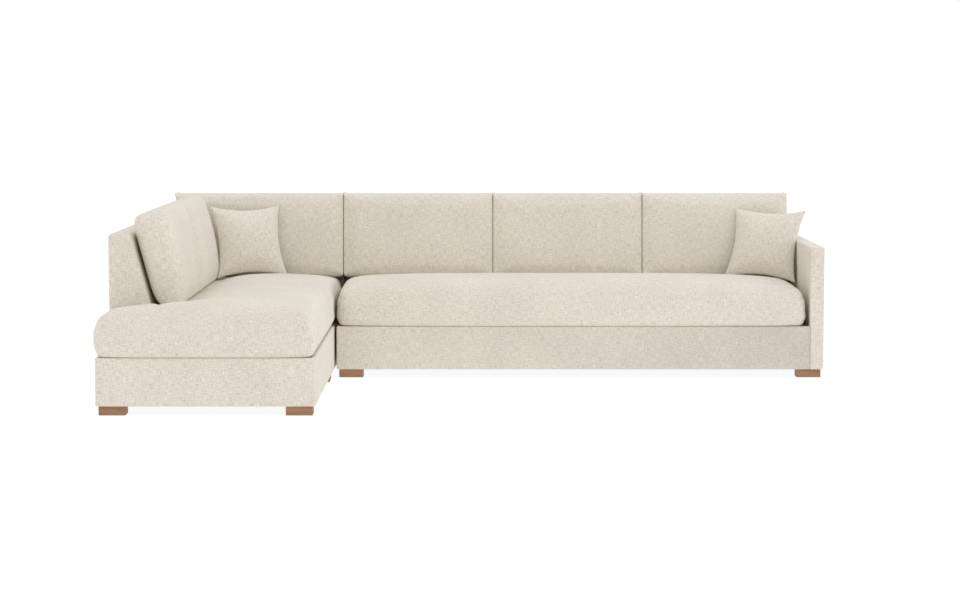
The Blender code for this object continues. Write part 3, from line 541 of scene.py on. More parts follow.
# %% [markdown]
# ## Sewn seams
#
# The panels of each cover meet in plain seams, where the thread shows as a row of tiny stitches. A
# seam is a list of corner numbers on the cover's lattice. The corners keep their numbers through the
# puffing and the subdivision, so the same list gives the seam's place on the finished cushion.

# %% Sew the seams
SEAM_PITCH = 0.005
STITCH_LENGTH = 0.0040
THREAD_RADIUS = 0.0005
THREAD_PLIES = 900.0


def make_plain(name, roughness, kind, output, texture, stops, relief):
    """A material whose one texture, over object coordinates, gives its colour and its relief."""
    material, tree, shader = new_material(name, roughness)
    place = add_node(tree, "ShaderNodeTexCoord")["Object"]
    value = add_node(tree, kind, {"Vector": place, **texture})[output]
    colour_and_relief(tree, shader, ramp(tree, value, stops), value, relief)
    return material


def stitch_shape(tree, given):
    """A small ball drawn out to a stitch."""
    ball = add_node(tree, "GeometryNodeMeshIcoSphere", {"Radius": 1.0, "Subdivisions": 1})["Mesh"]
    smooth = add_node(tree, "GeometryNodeSetShadeSmooth", {"Geometry": ball})["Geometry"]
    half = add_maths(tree, 'DIVIDE', given["Length"], 2.0)
    size = add_vector(tree, X=half, Y=given["Thread"], Z=given["Thread"])
    return add_node(tree, "GeometryNodeTransform", {"Geometry": smooth, "Scale": size})["Geometry"]


thread = make_plain("linen_thread", 0.8, "ShaderNodeTexWave", "Fac",
                    {"Scale": THREAD_PLIES, "Distortion": 2.0},
                    [(0.0, (0.62, 0.55, 0.46)), (1.0, (0.84, 0.78, 0.69))], 0.0001)
stitches = make_row_tree("row_of_stitches", SEAM_PITCH, {"Length": STITCH_LENGTH, "Thread": THREAD_RADIUS},
                         stitch_shape)


def rim_seam(keys, quads, layer):
    """The corners round a block at its lowest or highest layer, in order and back to the first."""
    beside = 1 if layer == 0 else layer - 1
    walls = quads[(keys[quads[:, 0], 2] == min(layer, beside)) & (keys[quads[:, 2], 2] == max(layer, beside))]
    start, end = (0, 1) if layer == 0 else (3, 2)
    after = dict(zip(walls[:, start].tolist(), walls[:, end].tolist()))
    seam = [next(iter(after))]
    while len(seam) <= len(after):
        seam.append(after[seam[-1]])
    return seam


def end_seam(keys, column, layers):
    """The corners up, over and down the panel that closes one end of a block."""
    number = {(j, k): index for index, (i, j, k) in enumerate(keys.tolist()) if i == column}
    last = max(j for j, _ in number)
    return ([number[0, k] for k in range(layers)] + [number[j, layers] for j in range(last + 1)]
            + [number[last, k] for k in range(layers - 1, -1, -1)])


def sew(piece, body, seams, above=0.0):
    """Set stitches along the seams of a finished cover, where they lie above a level."""
    places = positions(piece)
    lines = []
    for seam in seams:
        path = places[seam]
        shown = path[:, 2] > above
        cuts = np.flatnonzero(np.diff(shown.astype(int))) + 1
        runs = zip(np.split(path, cuts), np.split(shown, cuts))
        lines += [run for run, show in runs if show[0] and len(run) > 1]
    sewn = lay_rows(piece.name.replace("_cover", "_seams"), stitches, lines, thread)
    return dress(sewn, body, "upholstery")


print("Stitches are", SEAM_PITCH * 1000, "mm apart")

# %% [markdown]
# ## Measures from the frame
#
# The frame already knows where everything is, so the soft pieces take their places from its boxes.
# Only what a box can't say is named here: how far the backs and cushions lean, how thick a cushion's
# edge is, and how its corners round.

# %% Read the frame's boxes
BACK_TOP_THICKNESS = 0.094
BACK_LEAN = math.tan(math.radians(15.3))
CUSHION_LEAN = math.tan(math.radians(10.5))
CUSHION_STANDOFF = 0.0835
SEAT_OVERHANG = 0.010

sofa_border, bumper_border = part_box("sofa_front_border"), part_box("bumper_front_border")
floor_gap, base_top, sofa_front_y = sofa_border[0].z, sofa_border[1].z, sofa_border[0].y
bumper_x, chaise_front_y = (bumper_border[0].x, bumper_border[1].x), bumper_border[0].y
sofa_x = (sofa_border[0].x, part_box("sofa_arm_cover")[0].x)
seam_x = (bumper_x[1] + sofa_x[0]) / 2
back_top, rear_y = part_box("sofa_back_cover")[1].z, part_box("sofa_back_cover")[1].y
side_front_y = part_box("bumper_side_cover")[0].y
seat_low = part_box("bench_cushion")[0].z
seat_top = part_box("back_cushion_centre")[0].z


def back_thickness(level):
    """How thick an inclined back is at a level."""
    return BACK_TOP_THICKNESS + (back_top - level) * BACK_LEAN


print(f"Seat {seat_top:.3f} m high, backs {back_top:.3f} m high, base {base_top:.3f} m high")

# %% [markdown]
# ## Seat cushions
#
# The bench and the L-shaped seat are boxed cushions with a soft crown. Their front edge rolls over in
# a wide curve, the lower edge in a tighter one, and the crown sinks to nothing where the back
# cushions stand. The outline is a block of cells in plan, with a bite left out of the L for the side
# back.

# %% Shape the seat cushions
SEAT_EDGE_RADIUS = 0.052
SEAT_END_RADIUS = 0.042
SEAT_LOWER_RADIUS = 0.020
SEAT_CORNER = 0.045
SEAT_CROWN = 0.042
CROWN_REACH = 0.600
CROWN_TURN = 0.200
CROWN_START = 0.015
CROWN_GRIP = 3
BENCH_CROWN_POWERS = (5.0, 2.5)
BENCH_CROWN_PAST = 0.10
CHAISE_CROWN_POWERS = (3.5, 8.0)
CHAISE_CROWN_PAST = 0.06
WALL_POWER = 8
FLARE_REACH = 0.140
SEAT_CELL = 0.016
SEAT_LAYERS = 7
SEAT_PUFF = 0.006
FRONT_TIGHTNESS = 0.85
FRONT_DROOP = 0.012
FRONT_POWER = 6
FRONT_FOOT = 0.8
NOTCH_REACH = 0.300
SEAM_GAP = 0.0010
ARM_GAP = 0.008
SOFT_GAP = 0.004
STANDING_GAP = 0.0005
TINY = 1e-4


def nearness(distance, radius):
    """One at an edge, falling to zero a radius inside it."""
    return np.clip(1 - distance / radius, 0, 1)


def rounded_drop(near_u, near_v=0.0):
    """Share of its radius that a face falls towards a rounded edge or corner."""
    q = near_u ** 2 + near_v ** 2 - (near_u * near_v) ** 2
    return 1 - np.sqrt(np.maximum(0, 1 - q))


def crown_share(value, low, high, power):
    """One in the middle of a stretch, zero at its ends and beyond."""
    place = np.clip((value - low) / (high - low), 0, 1)
    return 1 - np.abs(2 * place - 1) ** power


def round_corner(u, v, corner, way, radius):
    """Draw a square corner in to a round one."""
    s = ((u - corner[0]) * way[0] + radius) / radius
    t = ((v - corner[1]) * way[1] + radius) / radius
    inside = (s > 0) & (t > 0)
    s, t = np.clip(s, 0, 1), np.clip(t, 0, 1)
    round_u = corner[0] + way[0] * radius * (s * np.sqrt(1 - t * t / 2) - 1)
    round_v = corner[1] + way[1] * radius * (t * np.sqrt(1 - s * s / 2) - 1)
    return np.where(inside, round_u, u), np.where(inside, round_v, v)


def plan_cells(xs, ys, notch):
    """The cells between grid lines, without those of the notch at the left and the rear."""
    filled = np.ones((len(xs) - 1, len(ys) - 1), bool)
    if notch:
        filled &= ~np.logical_and.outer(xs[1:] < notch[0] + TINY, ys[:-1] > notch[1] - TINY)
    return filled


def seat_block(low, high, notch):
    """The grid lines of a seat's plan, its block of cells and its outer corners with their ways out."""
    (x0, y0), (x1, y1) = low, high
    end, edge, cell = SEAT_END_RADIUS, SEAT_EDGE_RADIUS, SEAT_CELL
    corners = [((x0, y0), (-1, -1)), ((x1, y0), (1, -1)), ((x1, y1), (1, 1))]
    if notch:
        xs = np.concatenate([round_lines(x0, notch[0] + end, end, cell)[:-ROUND_TURNS - 1],
                             round_lines(notch[0], x1, end, cell)])
        ys = np.concatenate([round_lines(y0, notch[1], edge, cell),
                             round_lines(notch[1] - edge, y1, edge, cell)[ROUND_TURNS + 1:]])
        corners += [((notch[0], y1), (-1, 1)), ((x0, notch[1]), (-1, 1))]
    else:
        xs, ys = round_lines(x0, x1, end, cell), round_lines(y0, y1, edge, cell)
        corners += [((x0, y1), (-1, 1))]
    xs, ys = np.unique(xs.round(6)), np.unique(ys.round(6))
    return xs, ys, plan_cells(xs, ys, notch), corners


def seat_form(low, high, notch, crown_x, crown_powers):
    """Points and quads of a seat cushion, with the crown's share and the lattice numbers of each point."""
    (x0, y0), (x1, y1) = low, high
    end, edge = SEAT_END_RADIUS, SEAT_EDGE_RADIUS
    xs, ys, filled, corners = seat_block(low, high, notch)
    keys, quads, ways = skin_of_block(filled, SEAT_LAYERS)
    x, y, share = xs[keys[:, 0]], ys[keys[:, 1]], keys[:, 2] / SEAT_LAYERS

    across, along = np.minimum(x - x0, x1 - x), np.minimum(y - y0, y1 - y)
    to_notch, start = np.full(len(x), 1.0), crown_x[0]
    if notch:
        to_notch = np.hypot(np.maximum(0, x - notch[0]), np.maximum(0, notch[1] - y))
        on_flat = np.clip((notch[1] - y) / CROWN_TURN, 0, 1)
        by_side = notch[0] + CUSHION_STANDOFF + CROWN_START
        start = by_side + (crown_x[0] - by_side) * on_flat
    crown = (crown_share(x, start, crown_x[1], crown_powers[0])
             * crown_share(y, y0, sofa_front_y + CROWN_REACH, crown_powers[1]))

    near_x, near_y = nearness(across, end), nearness(along, edge)
    radius = end + (edge - end) * near_y ** 2 / np.maximum(near_x ** 2 + near_y ** 2, 1e-9)
    sunk = np.maximum(radius * rounded_drop(near_x, near_y), end * rounded_drop(nearness(to_notch, end)))
    tight = crown_share(x, x0, x1, FRONT_POWER) * (y < y0 + edge)
    lower_radius = SEAT_LOWER_RADIUS * (1 - FRONT_TIGHTNESS * tight)
    lower_drop = rounded_drop(nearness(across, lower_radius), nearness(along, lower_radius))
    lower = lower_radius * np.maximum(lower_drop, rounded_drop(nearness(to_notch, lower_radius)))
    in_front = tight * (y == y0)
    top = seat_edge + (SEAT_CROWN - SEAT_PUFF) * crown - sunk
    base = seat_low + lower - FRONT_DROOP * in_front
    z = base + share * (top - base)
    rounding = 1 - (2 * share - 1) ** WALL_POWER
    bulge = SEAT_OVERHANG * np.maximum(rounding, FRONT_FOOT * in_front * (share < 0.5))
    flat_x, flat_y = x, y
    for corner, way in corners:
        flat_x, flat_y = round_corner(flat_x, flat_y, corner, way, SEAT_CORNER)
    rise = (z - seat_low) * BACK_LEAN
    flat_y = flat_y + rise * nearness(y1 - y, FLARE_REACH) + ways[:, 1] * bulge
    if notch:
        beyond = np.clip((y - notch[1]) / FLARE_REACH, 0, 1)
        flat_x = flat_x - rise * nearness(x - notch[0], FLARE_REACH) * beyond
    return np.stack([flat_x + ways[:, 0] * bulge, flat_y, z], 1), quads, crown, keys


def make_seat(name, body, low, high, notch, crown_x, crown_powers, room):
    """A seat cushion, puffed between its neighbours and kept flat where other cushions stand on it."""
    points, quads, crown, keys = seat_form(low, high, notch, crown_x, crown_powers)
    seat = new_piece(name + "_cover", points, quads, linen)
    held = keys[:, 2] <= 1
    if notch:
        held |= ((points[:, 0] < notch[0] + SEAT_CELL) & (points[:, 1] > notch[1] - SEAT_CELL)
                 & (points[:, 1] < notch[1] + NOTCH_REACH))
    puff(seat, held, SEAT_PUFF)
    swollen = positions(seat)
    swollen[:, 0] = np.clip(swollen[:, 0], *room)
    swollen[:, 1] = np.maximum(swollen[:, 1], points[:, 1].min())
    lift = np.maximum(0, swollen[:, 2] - points[:, 2]) * np.clip(crown * CROWN_GRIP, 0, 1)
    swollen[:, 2] = np.minimum(swollen[:, 2], points[:, 2] + lift)
    set_positions(seat, swollen)
    subdivide(seat)
    lay_cloth(seat)
    sew(seat, body, [rim_seam(keys, quads, 0), end_seam(keys, 0, SEAT_LAYERS),
                     end_seam(keys, keys[:, 0].max(), SEAT_LAYERS)])
    return dress(seat, body, "upholstery", name)


seat_edge = seat_top - STANDING_GAP
clear = SOFT_GAP + SEAT_OVERHANG
rear_of_seats = rear_y - back_thickness(seat_low) - SOFT_GAP / math.cos(math.atan(BACK_LEAN)) - SEAT_OVERHANG
bench_low = (seam_x + SEAM_GAP + SEAT_OVERHANG, sofa_front_y)
bench_high = (sofa_x[1] - clear - ARM_GAP, rear_of_seats)
bench = make_seat("bench_cushion", "bench", bench_low, bench_high, None,
                  (bench_low[0] - BENCH_CROWN_PAST, bench_high[0]), BENCH_CROWN_POWERS,
                  (seam_x + SEAM_GAP, sofa_x[1] - SOFT_GAP))

notch = (bumper_x[0] + back_thickness(seat_low) + clear, side_front_y - clear)
bumper_seat_right = seam_x - SEAM_GAP - SEAT_OVERHANG
bumper_seat = make_seat("bumper_seat_cushion", "bumper_seat", (bumper_x[0], chaise_front_y),
                        (bumper_seat_right, rear_of_seats), notch,
                        (bumper_x[0], bumper_seat_right + CHAISE_CROWN_PAST), CHAISE_CROWN_POWERS,
                        (bumper_x[0] - SEAT_OVERHANG, seam_x - SEAM_GAP))
print("Seat quads:", len(bench.data.polygons), len(bumper_seat.data.polygons))

# %% [markdown]
# ## Back and side cushions
#
# A loose back cushion is a box of cloth, thinner at the foot than at the top, with a flat foot on the
# seat. Pressed ends between two cushions stay nearly square, and a free end rounds over softly. The
# lattice lies in the cushion's front plane here, and its layers go through the thickness.

# %% Shape the leaning cushions
FOOT_THICKNESS = 0.100
TOP_THICKNESS = 0.160
SIDE_TOP_THICKNESS = 0.125
SIDE_MIDDLE = 0.014
FRONT_BELLY = 0.018
SIDE_BELLY = 0.009
SIDE_BELLY_POWERS = (4, 2)
REAR_BELLY = 0.030
BELLY_POWER = 7.0
CUSHION_PUFF = 0.005
CUSHION_CELL = 0.013
CUSHION_LAYERS = 9
CUSHION_TURNS = 4
PRESSED_RADIUS = 0.008
PRESSED = (PRESSED_RADIUS, PRESSED_RADIUS)
FREE_RADIUS = 0.045
CORNER_RADIUS = 0.020
TOP_RADIUS = 0.019
FOOT_CORNER = 0.016
FOOT_HELD = -0.99
SIDE_TOP_TILT = 0.20
TILT_POWER = 3
SIDE_TOP_SOFTNESS = 0.010
EAR = 0.004
EAR_POWERS = (40, 30)
END_TUCK = 0.009
ARM_TUCK = 0.019
FOOT_CLEARANCE = 0.004
PRESS = 0.0013

rear_plane = rear_y - back_thickness(seat_top) - CUSHION_STANDOFF
side_plane = bumper_x[0] + back_thickness(seat_top) + CUSHION_STANDOFF
cushion_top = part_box("back_cushion_centre")[1].z
side_cushion_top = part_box("side_cushion_front")[1].z


def leaning_form(u0, u1, radii, to_world, side):
    """Points, quads and lattice numbers of a cushion between u0 and u1, and what the puffing may not move."""
    low, top = seat_top, side_cushion_top if side else cushion_top
    lines = [round_lines(u0, u1, radius, CUSHION_CELL, CUSHION_TURNS) for radius in radii]
    us = np.unique(np.concatenate([lines[0][:-CUSHION_TURNS - 1], lines[1][-CUSHION_TURNS - 1:]]).round(6))
    vs = round_lines(low, top, TOP_RADIUS, CUSHION_CELL, CUSHION_TURNS)
    keys, quads, ways = full_block(len(us) - 1, len(vs) - 1, CUSHION_LAYERS)
    u, v, layer = us[keys[:, 0]], vs[keys[:, 1]], keys[:, 2]
    place_u = 2 * (u - u0) / (u1 - u0) - 1
    place_v = 2 * (v - low) / (top - low) - 1
    rise = (place_v + 1) / 2
    flat = (1 - np.abs(place_u) ** BELLY_POWER) * (1 - np.abs(place_v) ** BELLY_POWER)
    thick = FOOT_THICKNESS + (TOP_THICKNESS - FOOT_THICKNESS) * rise
    front, shift = (FRONT_BELLY - CUSHION_PUFF) * flat, 0.0
    if side:
        lens = FOOT_THICKNESS + (SIDE_TOP_THICKNESS - FOOT_THICKNESS) * rise
        full_u, full_v = (1 - place ** power for place, power in zip((place_u, place_v), SIDE_BELLY_POWERS))
        lens = lens + SIDE_MIDDLE * full_v
        thick, shift = lens, (lens - thick) / 2
        front = (SIDE_BELLY - CUSHION_PUFF) * full_u * full_v
    edges = ((u - u0, radii[0]), (u1 - u, radii[1]), (np.minimum(v - low, top - v), TOP_RADIUS))
    drops = [radius * rounded_drop(nearness(away, radius)) for away, radius in edges]
    half = thick / 2 - np.max(drops, axis=0)
    inner = (layer > 0) & (layer < CUSHION_LAYERS)
    depth = np.where(inner, half * (2 * (layer / CUSHION_LAYERS) - 1), 0.0)
    depth = np.where(layer == CUSHION_LAYERS, half + front, depth)
    depth = np.where(layer == 0, -half - REAR_BELLY * flat, depth)
    for corner, way in (((u0, low), (-1, -1)), ((u1, low), (1, -1))):
        u, v = round_corner(u, v, corner, way, FOOT_CORNER)
    if side:
        for end, way, radius in ((u0, -1, radii[0]), (u1, 1, radii[1])):
            if radius > PRESSED_RADIUS:
                u, v = round_corner(u, v, (end, top), (way, 1), radius + SIDE_TOP_SOFTNESS)
        v = v + (depth + thick / 2) * SIDE_TOP_TILT * np.maximum(place_v, 0) ** TILT_POWER
    else:
        v = v + EAR * (np.abs(place_u) ** EAR_POWERS[0] - 1) * np.maximum(place_v, 0) ** EAR_POWERS[1]
    held = (layer == 0) | (np.linalg.norm(ways, axis=1) > 0) & (~inner | (place_v < FOOT_HELD))
    return to_world(u, depth + shift, v), quads, keys, held


def make_leaning(name, span, radii, to_world, side=False, ends=None):
    """A leaning cushion over a span, puffed between its neighbours."""
    points, quads, keys, held = leaning_form(*span, radii, to_world, side)
    cushion = new_piece(name + "_cover", points, quads, linen)
    puff(cushion, held, CUSHION_PUFF)
    swollen = positions(cushion)
    low, high = ends or span
    swollen[:, int(side)] = np.clip(swollen[:, int(side)], low - PRESS, high + PRESS)
    swollen[:, 2] = np.clip(swollen[:, 2], points[:, 2].min(), points[:, 2].max())
    set_positions(cushion, swollen)
    subdivide(cushion)
    if side:
        lay_cloth(cushion, across=(0, 1, 0), out=(1, 0, 0))
    else:
        lay_cloth(cushion)
    seams = [rim_seam(keys, quads, layer) for layer in (0, CUSHION_LAYERS)]
    sew(cushion, name + "_body", seams, seat_top + FOOT_CLEARANCE)
    return dress(cushion, name + "_body", "upholstery", name)


def on_rear_back(flare=0.0, x_high=0.0, width=1.0):
    """A place on a cushion that leans on the rear back, its left end flared to follow the side back."""
    def to_world(u, depth, v):
        above = v - seat_top
        x = u - above * flare * (x_high - u) / width
        return np.stack([x, rear_plane + above * CUSHION_LEAN - depth, v], 1)
    return to_world


def on_side_back(u, depth, v):
    """A place on a cushion that leans on the side back."""
    return np.stack([side_plane - (v - seat_top) * CUSHION_LEAN + depth, u, v], 1)


for name in ("back_cushion_left", "back_cushion_centre", "back_cushion_right"):
    low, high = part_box(name)
    tuck = ARM_TUCK if name.endswith("right") else 0
    make_leaning(name, (low.x, high.x - tuck), PRESSED, on_rear_back())

low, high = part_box("bumper_back_cushion")
corner_low = bumper_x[0] + back_thickness(seat_top) + SOFT_GAP + END_TUCK / 2
make_leaning("bumper_back_cushion", (corner_low, high.x), PRESSED,
             on_rear_back(BACK_LEAN, high.x, high.x - corner_low), ends=(low.x, high.x))

for name, radii in (("side_cushion_front", (FREE_RADIUS, PRESSED_RADIUS)),
                    ("side_cushion_rear", (PRESSED_RADIUS, CORNER_RADIUS))):
    low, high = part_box(name)
    make_leaning(name, (low.y, high.y), radii, on_side_back, side=True)
print("Back cushions stand on", round(seat_top, 4), "m")

# %% [markdown]
# ## Throw pillows
#
# A throw pillow is two squares of cloth sewn round the edge and stuffed, so it has a knife edge,
# sides that draw in and pointed ears at the corners. The lattice joins its two faces at the rim
# instead of building walls. Each pillow turns and leans as the CAD one does. It stands in front of
# the rear back cushions.

# %% Shape the throw pillows
PILLOW_SIZE = 0.345
PILLOW_THICKNESS = 0.116
PILLOW_EDGE = 0.003
PILLOW_DRAW = 0.026
PILLOW_POWER = 0.62
PILLOW_CELLS = 44
PILLOW_PUFF = 0.010
PILLOW_LEAN = math.radians(18.0)
LIMP_POWER = 4
PILLOWS = {
    "throw_pillow_left": {"x": seam_x - 0.4318, "rise": 0.1750, "standoff": 0.1874,
                          "turn": 25.0, "roll": 0.0, "limp": 0.0},
    "throw_pillow_right": {"x": sofa_x[1] - 0.139, "rise": 0.1630, "standoff": 0.1818,
                           "turn": -24.0, "roll": 3.0, "limp": 0.014}}


def knife_edge_skin(cells):
    """Quads over a square sheet on both sides, joined round the rim."""
    keys, quads, ways = full_block(cells, cells, 1)
    joined = keys.copy()
    joined[np.linalg.norm(ways, axis=1) > 0, 2] = 0
    keys, index = np.unique(joined, axis=0, return_inverse=True)
    quads = index.reshape(-1)[quads]
    faces = quads[[len(set(quad)) == 4 for quad in quads]]
    rim = (keys[:, 0] % cells == 0) | (keys[:, 1] % cells == 0)
    return keys, faces, rim


def make_pillow(name, x, rise, standoff, turn, roll, limp):
    """A stuffed square pillow that leans back, turned, rolled in its plane and limp in one ear."""
    keys, quads, rim = knife_edge_skin(PILLOW_CELLS)
    s, t = (2 * keys[:, axis] / PILLOW_CELLS - 1 for axis in (0, 1))
    s, t = np.sin(s * math.pi / 2), np.sin(t * math.pi / 2)
    thick = np.maximum(0, (1 - s * s) * (1 - t * t))
    depth = PILLOW_EDGE / 2 + (PILLOW_THICKNESS - PILLOW_EDGE) / 2 * thick ** PILLOW_POWER
    depth = np.where(rim, 0.0, np.where(keys[:, 2] > 0, depth, -depth))
    across = PILLOW_SIZE / 2 * s - PILLOW_DRAW * s * (1 - t * t)
    up = PILLOW_SIZE / 2 * t - PILLOW_DRAW * t * (1 - s * s)
    up = up - limp * ((1 - s) * (1 + t) / 4) ** LIMP_POWER
    pillow = new_piece(name + "_cover", np.stack([across, -depth, up], 1), quads, linen)
    puff(pillow, rim, PILLOW_PUFF)
    lay_cloth(pillow)
    turned = Matrix.Rotation(math.radians(turn), 3, 'Z') @ Matrix.Rotation(-PILLOW_LEAN, 3, 'X')
    turned = np.array(turned @ Matrix.Rotation(math.radians(roll), 3, 'Y'))
    middle = np.array((x, rear_plane + rise * CUSHION_LEAN - standoff, seat_edge + rise))
    set_positions(pillow, positions(pillow) @ turned.T + middle)
    subdivide(pillow)
    number = {(i, j): index for index, (i, j, k) in enumerate(keys.tolist()) if k == 0}
    there, back = range(PILLOW_CELLS), range(PILLOW_CELLS, 0, -1)
    seam = ([number[i, 0] for i in there] + [number[PILLOW_CELLS, j] for j in there]
            + [number[i, PILLOW_CELLS] for i in back] + [number[0, j] for j in back])
    sew(pillow, name + "_body", [seam + seam[:1]])
    return dress(pillow, name + "_body", "upholstery", name)


for name, place in PILLOWS.items():
    make_pillow(name, **place)
print("Pillows:", list(PILLOWS))

# %% [markdown]
# ## Upholstered backs and arm
#
# The backs and the arm are board frames wrapped in thin foam and cloth, so they look like blocks with
# softly eased edges. A lattice block gives even quads, and pushing its points out from a smaller
# block inside rounds every edge. A back then leans: the slanted face is a straight block whose depth
# is scaled by the back's thickness at each level. The arm and the side back carry a little more
# padding on top than their CAD blocks.

# %% Wrap the backs and the arm
COVER_RADIUS = 0.012
ARM_RADIUS = 0.0065
COVER_CELL = 0.030
EASING_ANGLES = (45, 30, 15, 0)
PADDING = 0.009
HAIR = 0.0003


def block_lines(low, high, radius, spacing):
    """Grid lines of a block, with a few close to each edge for its rounding."""
    ease = radius * (1 - np.tan(np.radians(EASING_ANGLES)))[:-1]
    count = max(1, round((high - low - 2 * radius) / spacing))
    middle = np.linspace(low + radius, high - radius, count + 1)
    return np.concatenate([low + ease, middle, (high - ease)[::-1]])


def rounded_block(low, high, radius, spacing=COVER_CELL):
    """Points and quads of a block with rounded edges."""
    lines = [block_lines(low[axis], high[axis], radius, spacing) for axis in range(3)]
    keys, quads, _ = full_block(*(len(line) - 1 for line in lines))
    points = np.stack([lines[axis][keys[:, axis]] for axis in range(3)], 1)
    core = np.clip(points, np.array(low) + radius, np.array(high) - radius)
    out = points - core
    return core + out * radius / np.maximum(np.linalg.norm(out, axis=1, keepdims=True), 1e-9), quads


def wrap(name, body, points, quads):
    """Linen over a shaped block, in place of the CAD cover of that name."""
    cover = new_piece(name + "_skin", points, quads, linen)
    lay_cloth(cover)
    return dress(cover, body, "upholstery", name)


def wrap_back(name, body, x_low, x_high):
    """The upholstered rear back of one module."""
    low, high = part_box(name)
    front_y = rear_y - BACK_TOP_THICKNESS
    points, quads = rounded_block((x_low, front_y, low.z), (x_high, rear_y, high.z), COVER_RADIUS)
    deep = (rear_y - points[:, 1]) / BACK_TOP_THICKNESS
    points[:, 1] = rear_y - deep * back_thickness(points[:, 2])
    return wrap(name, body, points, quads)


def wrap_side_back(name, body):
    """The upholstered side back, cut at its rear end to the slope of the rear back."""
    low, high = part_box(name)
    left, end = bumper_x[0], rear_y - back_thickness(low.z) - HAIR
    points, quads = rounded_block((left, low.y, low.z), (left + BACK_TOP_THICKNESS, end, high.z + PADDING),
                                  COVER_RADIUS)
    deep = (points[:, 0] - left) / BACK_TOP_THICKNESS
    points[:, 0] = left + deep * back_thickness(points[:, 2])
    along = (points[:, 1] - low.y) / (end - low.y)
    points[:, 1] += along * (points[:, 2] - low.z) * BACK_LEAN
    return wrap(name, body, points, quads)


def wrap_arm(name, body):
    """The slim arm, one upholstered board from the floor gap to the arm's top."""
    low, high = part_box(name)
    bottom, top = low.z - HAIR, high.z + PADDING
    return wrap(name, body, *rounded_block((low.x, low.y, bottom), (high.x, high.y, top), ARM_RADIUS))


covers = [wrap_back("sofa_back_cover", "sofa_frame", seam_x + SEAM_GAP, sofa_x[1] - HAIR),
          wrap_back("bumper_back_cover", "bumper_frame", bumper_x[0], seam_x - SEAM_GAP),
          wrap_side_back("bumper_side_cover", "bumper_frame"),
          wrap_arm("sofa_arm_cover", "sofa_frame")]
print("Cover quads:", [len(cover.data.polygons) for cover in covers])

# %% [markdown]
# ## The base, one band of cloth
#
# The base's border panels are boards, but the cloth over them is one long band, sewn at the corners.
# So one band replaces the panels of each module: a section with rounded edges, carried round the
# plan. Each ring of the section lies between an outer outline with small round corners and a square
# inner one.

# %% Wrap the bases
BAND_THICKNESS = 0.016
BAND_RADIUS = 0.006
BAND_CORNER = 0.007
BAND_TURNS = 4
BAND_RISE = 6
WELD = 1e-6


def plan_outlines(corners):
    """Outer and inner plan points of a band through (x, y, inward x, inward y) corners."""
    outer, inner = [], []
    for x, y, in_x, in_y in corners:
        inside = (x + in_x * BAND_THICKNESS, y + in_y * BAND_THICKNESS)
        if not (in_x and in_y):
            outer.append((x, y))
            inner.append(inside)
            continue
        start = math.atan2(-in_y, -in_x) - math.pi / 4
        for angle in np.linspace(start, start + math.pi / 2, BAND_TURNS + 1):
            away_x, away_y = in_x + math.cos(angle), in_y + math.sin(angle)
            outer.append((x + BAND_CORNER * away_x, y + BAND_CORNER * away_y))
            inner.append(inside)
    return np.array(outer), np.array(inner)


def band_section(low, high):
    """The band's section as (share of its thickness, level), with both outer edges rounded."""
    turns = np.linspace(0, math.pi / 2, BAND_TURNS + 1)
    inward = BAND_RADIUS * (1 - np.sin(turns)) / BAND_THICKNESS
    off = BAND_RADIUS * (1 - np.cos(turns))
    levels = np.linspace(low + BAND_RADIUS, high - BAND_RADIUS, BAND_RISE + 1)[1:-1]
    return np.concatenate([[(1.0, low)], np.stack([inward, low + off], 1), [(0.0, level) for level in levels],
                           np.stack([inward, high - off], 1)[::-1], [(1.0, high)]])


def weld(obj):
    """Merge points that lie on each other."""
    mesh = bmesh.new()
    mesh.from_mesh(obj.data)
    bmesh.ops.remove_doubles(mesh, verts=mesh.verts, dist=WELD)
    mesh.to_mesh(obj.data)
    mesh.free()


def wrap_base(name, body, corners, closed, sides):
    """One band of cloth round a base, in place of its border panels. An open band ends in flat caps."""
    outer, inner = plan_outlines(corners)
    section = band_section(floor_gap, base_top)
    points = [(*(a * (1 - share) + b * share), level)
              for a, b in zip(outer, inner) for share, level in section]
    count, ring = len(outer), len(section)
    quads = []
    for i in range(count if closed else count - 1):
        here, there = i * ring, (i + 1) % count * ring
        for k in range(ring):
            above = (k + 1) % ring
            quads.append((here + k, there + k, there + above, here + above))
    if not closed:
        quads += [tuple(range(ring - 1, -1, -1)), tuple(range((count - 1) * ring, count * ring))]
    band = new_piece(name + "_base_band", points, quads, linen)
    weld(band)
    lay_cloth(band)
    return dress(band, body, "upholstery", *(f"{name}_{side}_border" for side in sides))


(left, right), front, rear = bumper_x, chaise_front_y, rear_y
wrap_base("bumper", "bumper_frame",
          [(left, front, 1, 1), (right, front, -1, 1), (right, rear, -1, -1), (left, rear, 1, -1)], True,
          ("front", "left", "rear", "right"))
left, right, front = sofa_x[0], sofa_border[1].x, sofa_front_y
wrap_base("sofa", "sofa_frame",
          [(right, rear, 0, -1), (left, rear, 1, -1), (left, front, 1, 1), (right, front, 0, 1)], False,
          ("front", "left", "rear"))
print("Bands:", BAND_THICKNESS * 1000, "mm thick, from", round(floor_gap, 4), "to", round(base_top, 4), "m")

# %% [markdown]
# ## Wood, steel and foam
#
# The feet are light brown oak with a thin stain, and the hidden frame is plain sawn wood. Both share
# one grain group: long streaks from noise that is stretched along the board, with fine dark pores
# over them. The springs and hooks are brushed steel, the cushion cores are open-cell foam and the
# seat decks are felt.

